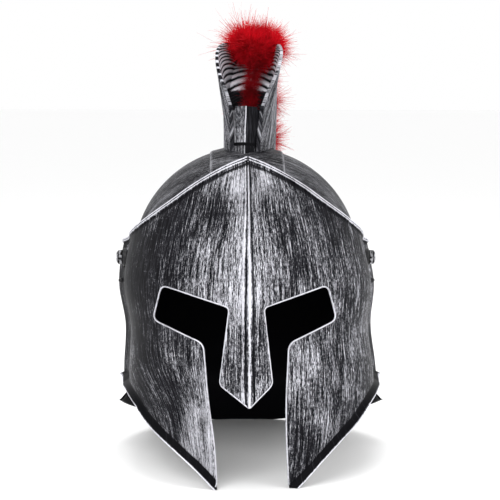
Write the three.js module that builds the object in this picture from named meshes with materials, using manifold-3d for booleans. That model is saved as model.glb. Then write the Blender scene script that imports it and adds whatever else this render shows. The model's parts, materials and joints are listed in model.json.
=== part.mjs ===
// Plumed Roman helmet: moulded skull with neck guard, pivoting visor, ribbed crest trough and red plume.
// Millimetres. Inside the helmet group x runs across, -y is the face, z is up and the origin is the middle of
// the pivot axis. The group leans back, as the helmet stands by itself on its cheek tips and its nape.
import * as THREE from "three";
import { mergeVertices } from "three/addons/utils/BufferGeometryUtils.js";
import Module from "manifold-3d";

const wasm = await Module();
wasm.setup();

// Driving dimensions
const wall = 2.2;
const gap = 0.3;
const leanBack = THREE.MathUtils.degToRad(6.6);
const standHeight = 171.9;
const sideways = 0.04;
const crestTurn = { yaw: 5, lean: 2, shift: -0.85 };
const dome = { halfWidth: 101, halfDepth: 122, height: 101, centre: -2.7, bandWidth: 66, bandRise: 1.6 };
const nape = { rearHem: -161, tabHem: -131, tabAngle: 78 };
const crease = { depth: 12, reach: 60, ribRise: 1.1 };
const visorRear = { flatFrom: 0.8, y: 16, flare: 7, length: 190 };
const rim = { width: 4.4, step: 0.8, rise: 2 };
const flange = { width: 5.5, flare: 4.5 };
const pivot = { padRadius: 12, padFace: 106.6, bore: 2.8, bossRadius: 9, bossInner: 92 };
const screw = { shank: 2.5, headAcross: 14.6, headThick: 4.2, capRadius: 5.4, capRise: 2, length: 18 };
const washer = { radius: 8.3, thick: 3.8 };
const nut = { across: 11, thick: 3.2 };
const peg = { y: 9, z: -21, head: 2.2, shank: 0.9, bore: 1.2, depth: 4, sunk: 0.5 };
const prow = { footHalf: 9.6, topHalf: 12, ridgeY: -54, shoulderY: -46, backY: -36, footTop: 98, top: 131 };
const crestWall = 2.4;
const trough = { first: 0.12, ribbedTo: 4.6, end: 9.7, ribRise: 1, ribSweep: 0.24 };
const mouth = { front: -70, reach: 8 };
const hollow = { first: 0.5, last: 8.65, below: 12, underFloor: 5, topShare: 0.9 };
const locks = { count: 30, sides: 4, root: 7, taper: 0.8, bend: 0.5, shortest: 0.6, seed: 7 };

// Skull below the dome's widest ring: share of the way down to the hem, half width and half depth there
const skirt = [
  { down: 0, halfWidth: 101, halfDepth: 122 },
  { down: 0.3, halfWidth: 99.5, halfDepth: 120 },
  { down: 0.58, halfWidth: 98, halfDepth: 113 },
  { down: 0.76, halfWidth: 100.5, halfDepth: 109 },
  { down: 0.9, halfWidth: 111, halfDepth: 116 },
  { down: 1, halfWidth: 122.5, halfDepth: 125 },
];

// Visor sections: height, half width at the pivots' line, ridge in front of the axis, start of the straight
// side behind the face, and exponent of the rounding between them
const visorSections = [
  { z: -205, side: 92, front: 140, straight: -15, power: 2.3 },
  { z: -150, side: 103, front: 147, straight: -15, power: 2.4 },
  { z: -106, side: 107.6, front: 148, straight: -15, power: 2.4 },
  { z: -60, side: 104.6, front: 146, straight: -15, power: 2.4 },
  { z: -23, side: 109, front: 143, straight: -15, power: 2.3 },
  { z: 17, side: 103, front: 135, straight: -10, power: 2.15 },
  { z: 40, side: 98, front: 125, straight: -6, power: 2 },
  { z: 60, side: 88.5, front: 112, straight: -3, power: 2 },
  { z: 76, side: 75.5, front: 93, straight: 0, power: 2 },
  { z: 88, side: 63, front: 76, straight: 0, power: 2 },
];

// Visor edges: share of the way from the ridge round to the rear edge, height of the top rim, height of the
// lower rim and how much lower the right cheek plate ends
const visorEdges = [
  { round: 0, top: 85, low: -208, rightDrop: 10 },
  { round: 0.11, top: 78.6, low: -190.4, rightDrop: 10 },
  { round: 0.19, top: 71.5, low: -174.5, rightDrop: 10 },
  { round: 0.28, top: 61.5, low: -160, rightDrop: 5 },
  { round: 0.37, top: 50, low: -148, rightDrop: 1 },
  { round: 0.45, top: 41, low: -138, rightDrop: 0 },
  { round: 0.55, top: 32, low: -124, rightDrop: 0 },
  { round: 0.68, top: 24.5, low: -115, rightDrop: 0 },
  { round: 0.8, top: 20.5, low: -112, rightDrop: 0 },
  { round: 1, top: 16.5, low: -106, rightDrop: 0 },
];

// The one opening of the face seen from the front, from the brow down the nose guard and back up a cheek
// plate: corner radius, height, and distance left and right of the ridge
const faceOpening = [
  { radius: 6, z: -51.5, left: 80, right: 73.5 },
  { radius: 6, z: -22.5, left: 72.5, right: 65.5 },
  { radius: 4, z: -40.5, left: 16.3, right: 11.9 },
  { radius: 4, z: -103, left: 24.4, right: 19 },
  { radius: 2, z: -121.5, left: 0, right: 0 },
];
const cheekEdge = [
  { radius: 6, z: -70, left: 37.5, right: 32.5 },
  { radius: 20, z: -118, left: 33.5, right: 30 },
  { radius: 20, z: -150, left: 28.5, right: 30.5 },
  { radius: 1, z: -225, left: 24, right: 35 },
];

// Crest stations from the prow over the top to the nape: root line on the skull, rim line and trough floor as
// y and z, and the half widths of root, flank, rim and floor
const crestColumns = ["rootY", "rootZ", "rimY", "rimZ", "floorY", "floorZ", "root", "flank", "rim", "floor"];
const crestStations = [
  [-46, 76, -49, 131, -40, 112, 12.4, 13.4, 14.8, 9.5],
  [-40, 79, -50, 146, -28, 124, 15, 17, 20, 13],
  [-30, 83, -48, 163, -16, 142, 18, 20.5, 27, 18],
  [-16, 87, -38, 179, -5, 160, 20.5, 22, 29.5, 17],
  [2, 88, -18, 189, 8, 172, 22.5, 23, 26.5, 15.5],
  [22, 85, 12, 192, 26, 176, 23, 23, 21.5, 14],
  [44, 79, 50, 183, 54, 166, 21, 21, 18.5, 12.5],
  [67, 66, 86, 160, 84, 145, 18, 18.5, 17, 11.5],
  [86, 44, 115, 122, 108, 111, 15, 16, 15.5, 10],
  [98, 18, 133, 76, 124, 70, 13, 14, 14, 9],
  [103, -8, 141, 30, 131, 27, 11, 12, 12, 8],
].map((row, station) => {
  const named = crestColumns.map((name, column) => [name, row[column]]);
  return { station, ...Object.fromEntries(named) };
});

// Plume: station of the crest that it lies over, height above the floor and radius of the feather mass
const plumeStations = [
  { order: 0, station: 0.7, lift: 8, radius: 4.5, spread: 5 },
  { order: 1, station: 1.6, lift: 13, radius: 7, spread: 9 },
  { order: 2, station: 2.5, lift: 17, radius: 12, spread: 18 },
  { order: 3, station: 3.6, lift: 20, radius: 15, spread: 21 },
  { order: 4, station: 4.8, lift: 22, radius: 13, spread: 20 },
  { order: 5, station: 6, lift: 20, radius: 12, spread: 19 },
  { order: 6, station: 8, lift: 17, radius: 11, spread: 19 },
  { order: 7, station: 9.5, lift: 14, radius: 8, spread: 16 },
];

const lerp = THREE.MathUtils.lerp;
const clamp = THREE.MathUtils.clamp;
const point = (x, y, z) => new THREE.Vector3(x, y, z);

// A smooth value between the rows of a table: Catmull-Rom through one column over another
function between(table, key, column, at) {
  const last = table.length - 1;
  let row = 0;
  while (row < last - 1 && at > table[row + 1][key]) row += 1;
  const low = table[row];
  const high = table[row + 1];
  const span = high[key] - low[key];
  const t = clamp((at - low[key]) / span, 0, 1);
  const slope = (a, b) => (b[column] - a[column]) / (b[key] - a[key]);
  const inner = slope(low, high);
  const before = row > 0 ? (slope(table[row - 1], low) + inner) / 2 : inner;
  const after = row < last - 1 ? (inner + slope(high, table[row + 2])) / 2 : inner;
  const t2 = t * t;
  const t3 = t2 * t;
  return (2 * t3 - 3 * t2 + 1) * low[column] + (t3 - 2 * t2 + t) * span * before +
    (3 * t2 - 2 * t3) * high[column] + (t3 - t2) * span * after;
}

// Solids from meshes, joined and cut with manifold-3d; faces that point inwards are turned round
function solid(geometry) {
  const bare = geometry.index ? geometry.toNonIndexed() : geometry.clone();
  bare.deleteAttribute("normal");
  bare.deleteAttribute("uv");
  const merged = mergeVertices(bare, 1e-3);
  const source = merged.index.array;
  const faces = [];
  for (let i = 0; i < source.length; i += 3) {
    const [a, b, c] = [source[i], source[i + 1], source[i + 2]];
    if (a !== b && b !== c && a !== c) faces.push(a, b, c);
  }
  const vertProperties = merged.attributes.position.array;
  const build = (list) => {
    const triVerts = new Uint32Array(list);
    return new wasm.Manifold(new wasm.Mesh({ numProp: 3, vertProperties, triVerts }));
  };
  const made = build(faces);
  return made.volume() < 0 ? build(faces.reverse()) : made;
}

function geometryOf(manifold) {
  const mesh = manifold.getMesh();
  const geometry = new THREE.BufferGeometry();
  geometry.setAttribute("position", new THREE.BufferAttribute(new Float32Array(mesh.vertProperties), 3));
  geometry.setIndex(new THREE.BufferAttribute(new Uint32Array(mesh.triVerts), 1));
  const faceted = geometry.toNonIndexed();
  faceted.computeVertexNormals();
  return faceted;
}

function fromFaces(points, faces) {
  const geometry = new THREE.BufferGeometry().setFromPoints(points);
  geometry.setIndex(faces);
  return solid(geometry);
}

// A wall between two grids of points, [row][column]; wrapped grids close on themselves from column to column
function wallBetween(outer, inner, wrapped) {
  const rows = outer.length;
  const columns = outer[0].length;
  const points = [...outer.flat(), ...inner.flat()];
  const at = (side, row, column) => side * rows * columns + row * columns + (column % columns);
  const faces = [];
  const quad = (a, b, c, d) => faces.push(a, b, c, a, c, d);
  const lastColumn = wrapped ? columns : columns - 1;
  for (let row = 0; row < rows - 1; row += 1) {
    for (let column = 0; column < lastColumn; column += 1) {
      quad(at(0, row, column), at(0, row + 1, column), at(0, row + 1, column + 1), at(0, row, column + 1));
      quad(at(1, row, column), at(1, row, column + 1), at(1, row + 1, column + 1), at(1, row + 1, column));
    }
    if (!wrapped) {
      quad(at(0, row, 0), at(1, row, 0), at(1, row + 1, 0), at(0, row + 1, 0));
      const edge = columns - 1;
      quad(at(0, row, edge), at(0, row + 1, edge), at(1, row + 1, edge), at(1, row, edge));
    }
  }
  for (let column = 0; column < lastColumn; column += 1) {
    quad(at(0, 0, column), at(0, 0, column + 1), at(1, 0, column + 1), at(1, 0, column));
    const end = rows - 1;
    quad(at(0, end, column), at(1, end, column), at(1, end, column + 1), at(0, end, column + 1));
  }
  return fromFaces(points, faces);
}

// A solid lofted through closed rings of points
function loft(rings) {
  const sides = rings[0].length;
  const points = rings.flat();
  const faces = [];
  for (let ring = 0; ring < rings.length - 1; ring += 1) {
    for (let side = 0; side < sides; side += 1) {
      const next = (side + 1) % sides;
      const [a, b] = [ring * sides + side, ring * sides + next];
      faces.push(a, b, b + sides, a, b + sides, a + sides);
    }
  }
  for (const [ring, turn] of [[rings[0], 1], [rings[rings.length - 1], -1]]) {
    const middle = ring.reduce((sum, p) => sum.add(p), point(0, 0, 0)).divideScalar(sides);
    const first = ring === rings[0] ? 0 : (rings.length - 1) * sides;
    points.push(middle);
    for (let side = 0; side < sides; side += 1) {
      const pair = [first + side, first + (side + 1) % sides];
      faces.push(points.length - 1, pair[turn > 0 ? 1 : 0], pair[turn > 0 ? 0 : 1]);
    }
  }
  return fromFaces(points, faces);
}

// A turned piece whose axis is the x axis; the profile rows are radius and distance along the axis
function turned(profile, sides) {
  const outline = profile.map(([radius, along]) => new THREE.Vector2(radius, along));
  return new THREE.LatheGeometry(outline, sides).rotateZ(-Math.PI / 2);
}

const discX = (radius, from, to, sides) => turned([[0, from], [radius, from], [radius, to], [0, to]], sides);

// A flat outline with rounded corners, for cutting or for plates
function roundedOutline(corners) {
  const shape = new THREE.Shape();
  corners.forEach((corner, i) => {
    const here = new THREE.Vector2(corner.x, corner.y);
    const before = corners[(i + corners.length - 1) % corners.length];
    const after = corners[(i + 1) % corners.length];
    const toBefore = new THREE.Vector2(before.x, before.y).sub(here);
    const toAfter = new THREE.Vector2(after.x, after.y).sub(here);
    const reach = Math.min(corner.radius, toBefore.length() / 2, toAfter.length() / 2);
    const enter = here.clone().add(toBefore.setLength(reach));
    const leave = here.clone().add(toAfter.setLength(reach));
    if (i === 0) shape.moveTo(enter.x, enter.y);
    else shape.lineTo(enter.x, enter.y);
    shape.quadraticCurveTo(here.x, here.y, leave.x, leave.y);
  });
  shape.closePath();
  return shape;
}

// A block with a front-view outline (x and z) that runs from one y to another
function frontBlock(corners, fromY, toY) {
  const shape = roundedOutline(corners.map(({ x, z, radius }) => ({ x, y: z, radius })));
  const depth = toY - fromY;
  const geometry = new THREE.ExtrudeGeometry(shape, { depth, bevelEnabled: false, curveSegments: 3 });
  return solid(geometry.rotateX(Math.PI / 2).translate(0, toY, 0));
}

// A block with a side-view outline (y and z) that runs right across the helmet
function sideBlock(corners, halfWidth) {
  const shape = roundedOutline(corners.map(({ y, z, radius }) => ({ x: y, y: z, radius })));
  const depth = 2 * halfWidth;
  const geometry = new THREE.ExtrudeGeometry(shape, { depth, bevelEnabled: false, curveSegments: 5 });
  return solid(geometry.rotateX(Math.PI / 2).rotateZ(Math.PI / 2).translate(-halfWidth, 0, 0));
}

// The helmet leans a little to one side below the pivots, as the moulding in the photograph does
function sidewaysShift(x, z, halfWidth) {
  const share = clamp(x / halfWidth, -1, 1);
  return sideways * Math.max(0, -z) * share * share;
}

// Skull: azimuth is measured from the back, and down runs 0 to 1 from the crown to the widest ring and 1 to 2
// from there to the hem
function skullPoint(azimuth, down, offset) {
  const [across, back] = [Math.sin(azimuth), Math.cos(azimuth)];
  if (down <= 1) {
    const fall = down * Math.PI / 2;
    const ring = Math.sin(fall);
    return point(
      (dome.halfWidth + offset) * across * ring,
      (dome.halfDepth + offset) * back * ring,
      dome.centre + (dome.height + offset) * Math.cos(fall),
    );
  }
  const turn = Math.min(1, Math.abs(azimuth) / THREE.MathUtils.degToRad(nape.tabAngle));
  const hem = lerp(nape.rearHem, nape.tabHem, turn ** 1.6);
  const z = lerp(dome.centre, hem, down - 1);
  const halfWidth = between(skirt, "down", "halfWidth", down - 1) + offset;
  const halfDepth = between(skirt, "down", "halfDepth", down - 1) + offset;
  return point(halfWidth * across + sidewaysShift(halfWidth * across, z, halfWidth), halfDepth * back, z);
}

function skullGrid(offset) {
  const sides = 40;
  const levels = [0, 0.14, 0.29, 0.44, 0.59, 0.73, 0.87, 1, 1.25, 1.5, 1.66, 1.78, 1.9, 2];
  return levels.map((level) => Array.from({ length: sides }, (_, i) => {
    const azimuth = (i / sides) * 2 * Math.PI - Math.PI;
    return skullPoint(azimuth, level, offset);
  }));
}

// The raised band over the crown, as a strip of wall on top of the dome
function crownBand() {
  const half = dome.bandWidth / 2;
  const steps = 18;
  const strip = (offset) => Array.from({ length: steps + 1 }, (_, i) => {
    const turn = THREE.MathUtils.degToRad(lerp(28, 176, i / steps));
    return [-1, -0.93, -0.45, 0, 0.45, 0.93, 1].map((share) => {
      const x = share * half;
      const edge = Math.abs(share) === 1 ? -dome.bandRise * 1.5 : 0;
      const ring = Math.sqrt(1 - (x / (dome.halfWidth + offset)) ** 2);
      const depth = (dome.halfDepth + offset + edge) * ring;
      const height = (dome.height + offset + edge) * ring;
      return point(x, -Math.cos(turn) * depth, dome.centre + Math.sin(turn) * height);
    });
  });
  return wallBetween(strip(dome.bandRise).reverse(), strip(-wall / 2).reverse(), false);
}

// The prow is one pointed post, whose lower end is the skull's foot and whose upper end is the crest's stem
function prowBlock(fromZ, toZ) {
  const section = (z) => {
    const half = lerp(prow.footHalf, prow.topHalf, (z - prow.footTop) / (prow.top - prow.footTop));
    return [
      point(0, prow.ridgeY, z),
      point(half, prow.shoulderY, z),
      point(half, prow.backY, z),
      point(-half, prow.backY, z),
      point(-half, prow.shoulderY, z),
    ];
  };
  return loft([section(fromZ), section(toZ)]);
}

// The crest stands slightly turned and leaning on the crown
function turnCrest(manifold) {
  const leaning = manifold.rotate([0, crestTurn.lean, 0]).rotate([0, 0, -crestTurn.yaw]);
  return leaning.translate([crestTurn.shift, 0, 0]);
}

// The floor, in the leaning helmet's own frame
function floorBlock(rise) {
  const size = 600;
  const block = new THREE.BoxGeometry(size, size, size).translate(0, 0, rise - size / 2);
  block.translate(0, 0, -standHeight);
  return solid(block.rotateX(leanBack));
}

function skullShell() {
  let shell = wallBetween(skullGrid(0), skullGrid(-wall), true);
  const faceCut = sideBlock([
    { y: -200, z: 24, radius: 1 },
    { y: -52, z: 24, radius: 40 },
    { y: -14, z: -26, radius: 40 },
    { y: 0, z: -90, radius: 30 },
    { y: 25, z: -128, radius: 20 },
    { y: 27, z: -220, radius: 1 },
    { y: -200, z: -220, radius: 1 },
  ], 160);
  shell = shell.subtract(faceCut).add(crownBand());
  const inside = loft(skullGrid(-wall).slice(1).map((ring) => ring.slice().reverse()));
  const foot = turnCrest(prowBlock(60, prow.footTop)).subtract(inside);
  shell = shell.add(foot);
  for (const side of [-1, 1]) {
    const boss = discX(pivot.bossRadius, side * pivot.bossInner, side * (pivot.padFace - wall - gap), 20);
    const bore = discX(pivot.bore, side * 60, side * 130, 14);
    shell = shell.add(solid(boss)).subtract(solid(bore));
  }
  return largest(shell.subtract(floorBlock(0)));
}

function largest(manifold) {
  return manifold.decompose().sort((a, b) => b.volume() - a.volume())[0];
}

// Visor surface: round runs from 0 at the ridge to 1 at the rear edge, with the side's sign
function visorPoint(round, z) {
  const share = Math.abs(round);
  const side = between(visorSections, "z", "side", z);
  const front = between(visorSections, "z", "front", z);
  const straight = between(visorSections, "z", "straight", z);
  const power = between(visorSections, "z", "power", z);
  const turn = Math.min(1, share / visorRear.flatFrom) * Math.PI / 2;
  const beyond = clamp((share - visorRear.flatFrom) / (1 - visorRear.flatFrom), 0, 1);
  let x = side * Math.sin(turn) ** (2 / power) + visorRear.flare * beyond * beyond;
  const bulge = (front + straight - crease.depth) * Math.max(0, Math.cos(turn)) ** (2 / power);
  const fold = crease.depth * Math.max(0, 1 - x / crease.reach) ** 2;
  const y = lerp(straight - bulge - fold, visorRear.y, beyond);
  x = Math.sign(round) * x;
  return point(x + sidewaysShift(x, z, side), y, z);
}

function visorNormal(round, z) {
  const step = 0.01;
  const height = 1;
  const alongRound = visorPoint(Math.min(1, round + step), z).sub(visorPoint(Math.max(-1, round - step), z));
  const alongHeight = visorPoint(round, z + height).sub(visorPoint(round, z - height));
  return alongRound.cross(alongHeight).normalize();
}

// Rows of the visor wall from the rim to the lower edge: distance from the rim, or from the lower edge if it is
// negative, and how far the outer face and both faces stand out
const visorRows = [
  { from: 0, rise: rim.rise, flare: 0 },
  { from: rim.width, rise: rim.rise, flare: 0 },
  { from: rim.width + rim.step, rise: 0, flare: 0 },
];
const visorMiddleRows = 12;
const visorLowRows = [
  { from: -2 * flange.width, rise: 0, flare: 0 },
  { from: -flange.width, rise: 0, flare: 0.12 },
  { from: -flange.width / 2, rise: 0, flare: 0.5 },
  { from: 0, rise: 0, flare: 1 },
];

// How much longer a slanting edge is than its height, so that a band along it keeps its width
function edgeSlant(column, share) {
  const step = 0.02;
  const from = Math.max(0, share - step);
  const to = Math.min(1, share + step);
  const rise = between(visorEdges, "round", column, to) - between(visorEdges, "round", column, from);
  return Math.hypot(1, rise / ((to - from) * visorRear.length));
}

// Heights at a distance below the top edge and above the lower edge
function visorTop(round, distance) {
  const share = Math.abs(round);
  return between(visorEdges, "round", "top", share) - distance * edgeSlant("top", share);
}

function visorLow(round, distance) {
  const share = Math.abs(round);
  const drop = round > 0 ? between(visorEdges, "round", "rightDrop", share) : 0;
  return between(visorEdges, "round", "low", share) - drop + distance * edgeSlant("low", share);
}

function visorWall() {
  const shares = [0.01, 0.017, 0.07, 0.13, 0.19, 0.25, 0.32, 0.39, 0.46, 0.53, 0.6, 0.67, 0.74, 0.8, 0.9, 1];
  const rounds = [...shares.slice().reverse().map((share) => -share), 0, ...shares];
  const outer = [];
  const inner = [];
  const addRow = (heightAt, rise, flare) => {
    const pairs = rounds.map((round) => {
      const z = heightAt(round);
      const normal = visorNormal(round, z);
      const rib = Math.abs(round) < shares[1] ? crease.ribRise : 0;
      const base = visorPoint(round, z).addScaledVector(normal, flare);
      return [base.clone().addScaledVector(normal, rise + rib), base.clone().addScaledVector(normal, -wall)];
    });
    outer.push(pairs.map((pair) => pair[0]));
    inner.push(pairs.map((pair) => pair[1]));
  };
  for (const row of visorRows) addRow((round) => visorTop(round, row.from), row.rise, 0);
  for (let i = 1; i <= visorMiddleRows; i += 1) {
    const part = i / (visorMiddleRows + 1);
    const under = rim.width + rim.step;
    addRow((round) => lerp(visorTop(round, under), visorLow(round, 2 * flange.width), part), 0, 0);
  }
  for (const row of visorLowRows) addRow((round) => visorLow(round, -row.from), 0, row.flare * flange.flare);
  return wallBetween(outer, inner, false);
}

const cornersOn = (table, side) => table.map(({ radius, z, left, right }) => {
  return { radius, z, x: side < 0 ? -left : right };
});

function visor() {
  const leftHalf = [...cornersOn(cheekEdge, -1).reverse(), ...cornersOn(faceOpening, -1)];
  const rightHalf = [...cornersOn(cheekEdge, 1).reverse(), ...cornersOn(faceOpening.slice(0, -1), 1)];
  let mask = visorWall().subtract(frontBlock([...leftHalf, ...rightHalf.reverse()], -220, -40));
  for (const side of [-1, 1]) {
    const recess = discX(pivot.padRadius, side * pivot.padFace, side * 135, 24);
    const pad = discX(pivot.padRadius + 1.6, side * (pivot.padFace - wall), side * pivot.padFace, 24);
    const bore = discX(pivot.bore, side * 60, side * 135, 14);
    const pegBore = discX(peg.bore, side * 90, side * 135, 8).translate(0, peg.y, peg.z);
    const pegFlat = discX(peg.head + gap, side * pegSeat(side), side * 135, 12).translate(0, peg.y, peg.z);
    const bossSpace = discX(pivot.bossRadius + gap, side * pivot.bossInner, side * pivot.padFace, 20);
    mask = mask.subtract(solid(recess)).subtract(solid(bossSpace)).add(solid(pad));
    mask = mask.subtract(solid(bore)).subtract(solid(pegBore)).subtract(solid(pegFlat));
  }
  return largest(mask.subtract(floorBlock(0)));
}

// Crest cross-section at a place along the stations
function crestRow(place) {
  const value = (column) => between(crestStations, "station", column, place);
  return {
    root: point(value("root"), value("rootY"), value("rootZ")),
    rim: point(value("rim"), value("rimY"), value("rimZ")),
    floor: point(value("floor"), value("floorY"), value("floorZ")),
    flank: value("flank"),
  };
}

const mirrored = (half) => [...half, ...half.slice().reverse().map((p) => point(-p.x, p.y, p.z))];

// The outer form, grown on all sides for what has to keep clear of it
function crestBody(steps, grow) {
  return loft(Array.from({ length: steps + 1 }, (_, i) => {
    const { root, rim: edge, flank } = crestRow((i / steps) * (crestStations.length - 1));
    const middle = root.clone().lerp(edge, 0.5).setX(flank + grow);
    const outwards = edge.clone().sub(root).setX(0).normalize();
    const top = edge.setX(edge.x + grow).addScaledVector(outwards, grow);
    return mirrored([root.setX(root.x + grow), middle, top]);
  }));
}

// The trough: open between the rims, with ribs in the front scoop that bow up towards the middle of its floor
function crestTrough(places, ribHeight, shrink) {
  return loft(places.map((place, i) => {
    const rise = shrink + (i % 2 === 0 ? ribHeight / 2 : -ribHeight / 2);
    const { root, rim: edge, floor } = crestRow(place);
    const outwards = edge.clone().sub(root).setX(0).normalize();
    const floorAt = (share, shift) => {
      const row = crestRow(clamp(place + shift, 0, crestStations.length - 1));
      const sag = (1 - share * share) * 2;
      return row.floor.clone().addScaledVector(outwards, rise - sag).setX((row.floor.x - shrink) * share);
    };
    const brim = edge.clone().addScaledVector(outwards, 6).setX(edge.x - crestWall - shrink);
    const side = edge.clone().lerp(floor, 0.55).setX(lerp(edge.x - crestWall, floor.x, 0.5) - shrink);
    const middle = floorAt(0.6, trough.ribSweep * 0.7);
    return mirrored([floorAt(0.02, trough.ribSweep), middle, floorAt(1, 0), side, brim]);
  }));
}

// The scoop's open front, between the rims above the prow
function crestMouth() {
  return loft([0, 1, 2].map((place) => {
    const { rim: edge } = crestRow(place);
    const inside = edge.x - crestWall;
    return mirrored([point(inside, mouth.front, edge.z), point(inside, edge.y + mouth.reach, edge.z)]);
  }));
}

const evenly = (from, to, steps) => Array.from({ length: steps + 1 }, (_, i) => lerp(from, to, i / steps));

function crestHollow() {
  const steps = 20;
  return loft(Array.from({ length: steps + 1 }, (_, i) => {
    const { root, rim: edge, floor, flank } = crestRow(lerp(hollow.first, hollow.last, i / steps));
    const inward = edge.clone().sub(root).setX(0).normalize();
    const low = root.clone().addScaledVector(inward, -hollow.below).setX(root.x - crestWall);
    const high = floor.clone().addScaledVector(inward, -hollow.underFloor);
    const reach = clamp((high.z - root.z) / (edge.z - root.z), 0, 0.5);
    const middle = root.clone().lerp(high, 0.6).setX(lerp(root.x, flank, 2 * reach) - crestWall);
    return mirrored([low, middle, high.setX(Math.min(floor.x, middle.x) * hollow.topShare)]);
  }));
}

// Everything below the crown band's surface, with clearance for the crest
function skullClearance() {
  const facets = 0.4;
  const round = new THREE.SphereGeometry(1, 40, 28).rotateX(Math.PI / 2);
  const grow = dome.bandRise + gap + facets;
  round.scale(dome.halfWidth + grow, dome.halfDepth + grow, dome.height + grow);
  return solid(round.translate(0, 0, dome.centre));
}

function crestShell() {
  const seam = { width: 2 * (prow.footHalf + gap), depth: 40, height: 60 };
  const belowSeam = new THREE.BoxGeometry(seam.width, seam.depth, seam.height);
  belowSeam.translate(0, prow.backY + gap - seam.depth / 2, prow.footTop + gap - seam.height / 2);
  const ribbed = evenly(trough.first, trough.ribbedTo, 32);
  const plain = evenly(trough.ribbedTo + 0.4, trough.end, 9);
  const body = crestBody(26, 0).subtract(crestHollow()).add(prowBlock(prow.footTop - 20, prow.top));
  const open = body.subtract(crestTrough([...ribbed, ...plain], trough.ribRise, 0)).subtract(crestMouth());
  return largest(turnCrest(open.subtract(solid(belowSeam))).subtract(skullClearance()));
}

// The space that the crest's walls take, with clearance for the feathers
function crestClearance() {
  const clearance = gap + trough.ribRise / 2;
  const groove = crestTrough(evenly(trough.first, trough.end, 24), 0, clearance);
  return turnCrest(crestBody(26, gap).add(prowBlock(prow.footTop, prow.top + gap)).subtract(groove));
}

// Plume: a boa core along the trough with locks of feather fused to it
function plumePath(place) {
  const { floor, root, rim: edge } = crestRow(between(plumeStations, "order", "station", place));
  const outwards = edge.clone().sub(root).setX(0).normalize();
  const lift = between(plumeStations, "order", "lift", place);
  return { centre: floor.clone().setX(0).addScaledVector(outwards, lift), outwards };
}

function plumeCore() {
  const steps = 26;
  const sides = 6;
  const last = plumeStations.length - 1;
  return loft(Array.from({ length: steps + 1 }, (_, i) => {
    const place = (i / steps) * last;
    const { centre, outwards } = plumePath(place);
    const radius = between(plumeStations, "order", "radius", place) * (i % 2 === 0 ? 1 : 0.82);
    return Array.from({ length: sides }, (__, side) => {
      const turn = (side / sides) * 2 * Math.PI;
      const across = point(Math.cos(turn) * radius, 0, 0);
      return centre.clone().add(across).addScaledVector(outwards, Math.sin(turn) * radius);
    });
  }));
}

// One lock: a bent, tapering tuft from the core outwards
function plumeLock(place, lean, sweep, size) {
  const { centre, outwards } = plumePath(place);
  const radius = between(plumeStations, "order", "radius", place);
  const spread = between(plumeStations, "order", "spread", place) * size;
  const along = plumePath(Math.min(plumeStations.length - 1, place + 0.1)).centre.sub(centre).normalize();
  const direction = outwards.clone().multiplyScalar(Math.cos(lean)).add(point(Math.sin(lean), 0, 0));
  direction.addScaledVector(along, sweep).normalize();
  const across = direction.clone().cross(along).normalize();
  const third = direction.clone().cross(across).normalize();
  return loft([0, 1].map((share) => {
    const middle = centre.clone().addScaledVector(direction, (radius + spread) * share);
    middle.addScaledVector(along, sweep * spread * share * share * locks.bend);
    const width = locks.root * (1 - locks.taper * share);
    return Array.from({ length: locks.sides }, (_, side) => {
      const turn = (side / locks.sides) * 2 * Math.PI;
      const ring = middle.clone().addScaledVector(across, Math.cos(turn) * width);
      return ring.addScaledVector(third, Math.sin(turn) * width);
    });
  }));
}

function plume() {
  let seed = locks.seed;
  const random = () => {
    seed = (seed * 16807) % 2147483647;
    return seed / 2147483647;
  };
  let mass = plumeCore();
  for (let i = 0; i < locks.count; i += 1) {
    const place = 1.1 + (i / (locks.count - 1)) * (plumeStations.length - 2.2);
    const lean = (i % 2 === 0 ? 1 : -1) * lerp(0.1, 1.35, random());
    const sweep = lerp(-locks.bend, locks.shortest, random());
    mass = mass.add(plumeLock(place, lean, sweep, lerp(locks.shortest, 1, random())));
  }
  return largest(turnCrest(mass).subtract(crestClearance()));
}

// Fasteners at the temples
function pivotScrew(side) {
  const inner = side * (pivot.padFace + washer.thick + gap);
  const at = (along) => inner + side * along;
  const head = new THREE.CylinderGeometry(screw.headAcross / 2, screw.headAcross / 2, screw.headThick, 6);
  head.rotateZ(Math.PI / 2).translate(inner + side * screw.headThick / 2, 0, 0);
  const cap = turned([
    [0, at(screw.headThick - 0.5)],
    [screw.capRadius, at(screw.headThick - 0.5)],
    [screw.capRadius * 0.8, at(screw.headThick + screw.capRise * 0.6)],
    [screw.capRadius * 0.4, at(screw.headThick + screw.capRise)],
    [0, at(screw.headThick + screw.capRise)],
  ], 14);
  const shank = discX(screw.shank, at(-screw.length), at(0.5), 12);
  return solid(head).add(solid(cap)).add(solid(shank));
}

function pivotWasher(side) {
  const from = side * (pivot.padFace + gap / 2);
  const to = from + side * (washer.thick);
  const disc = solid(discX(washer.radius, from, to, 24));
  return disc.subtract(solid(discX(pivot.bore, side * 60, side * 140, 12)));
}

function pivotNut(side) {
  const outerFace = side * (pivot.bossInner - gap);
  const block = new THREE.CylinderGeometry(nut.across / 2, nut.across / 2, nut.thick, 6);
  block.rotateZ(Math.PI / 2).translate(outerFace - side * nut.thick / 2, 0, 0);
  return solid(block).subtract(solid(discX(pivot.bore, side * 60, side * 130, 12)));
}

// The small flat on the visor that a peg's head sits on, as a distance from the middle
function pegSeat(side) {
  const flat = visorSections.find((row) => row.z === -23);
  const beyond = (peg.y - flat.straight) / (visorRear.y - flat.straight);
  return flat.side + visorRear.flare * beyond * beyond - side * sideways * peg.z - peg.sunk;
}

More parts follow.
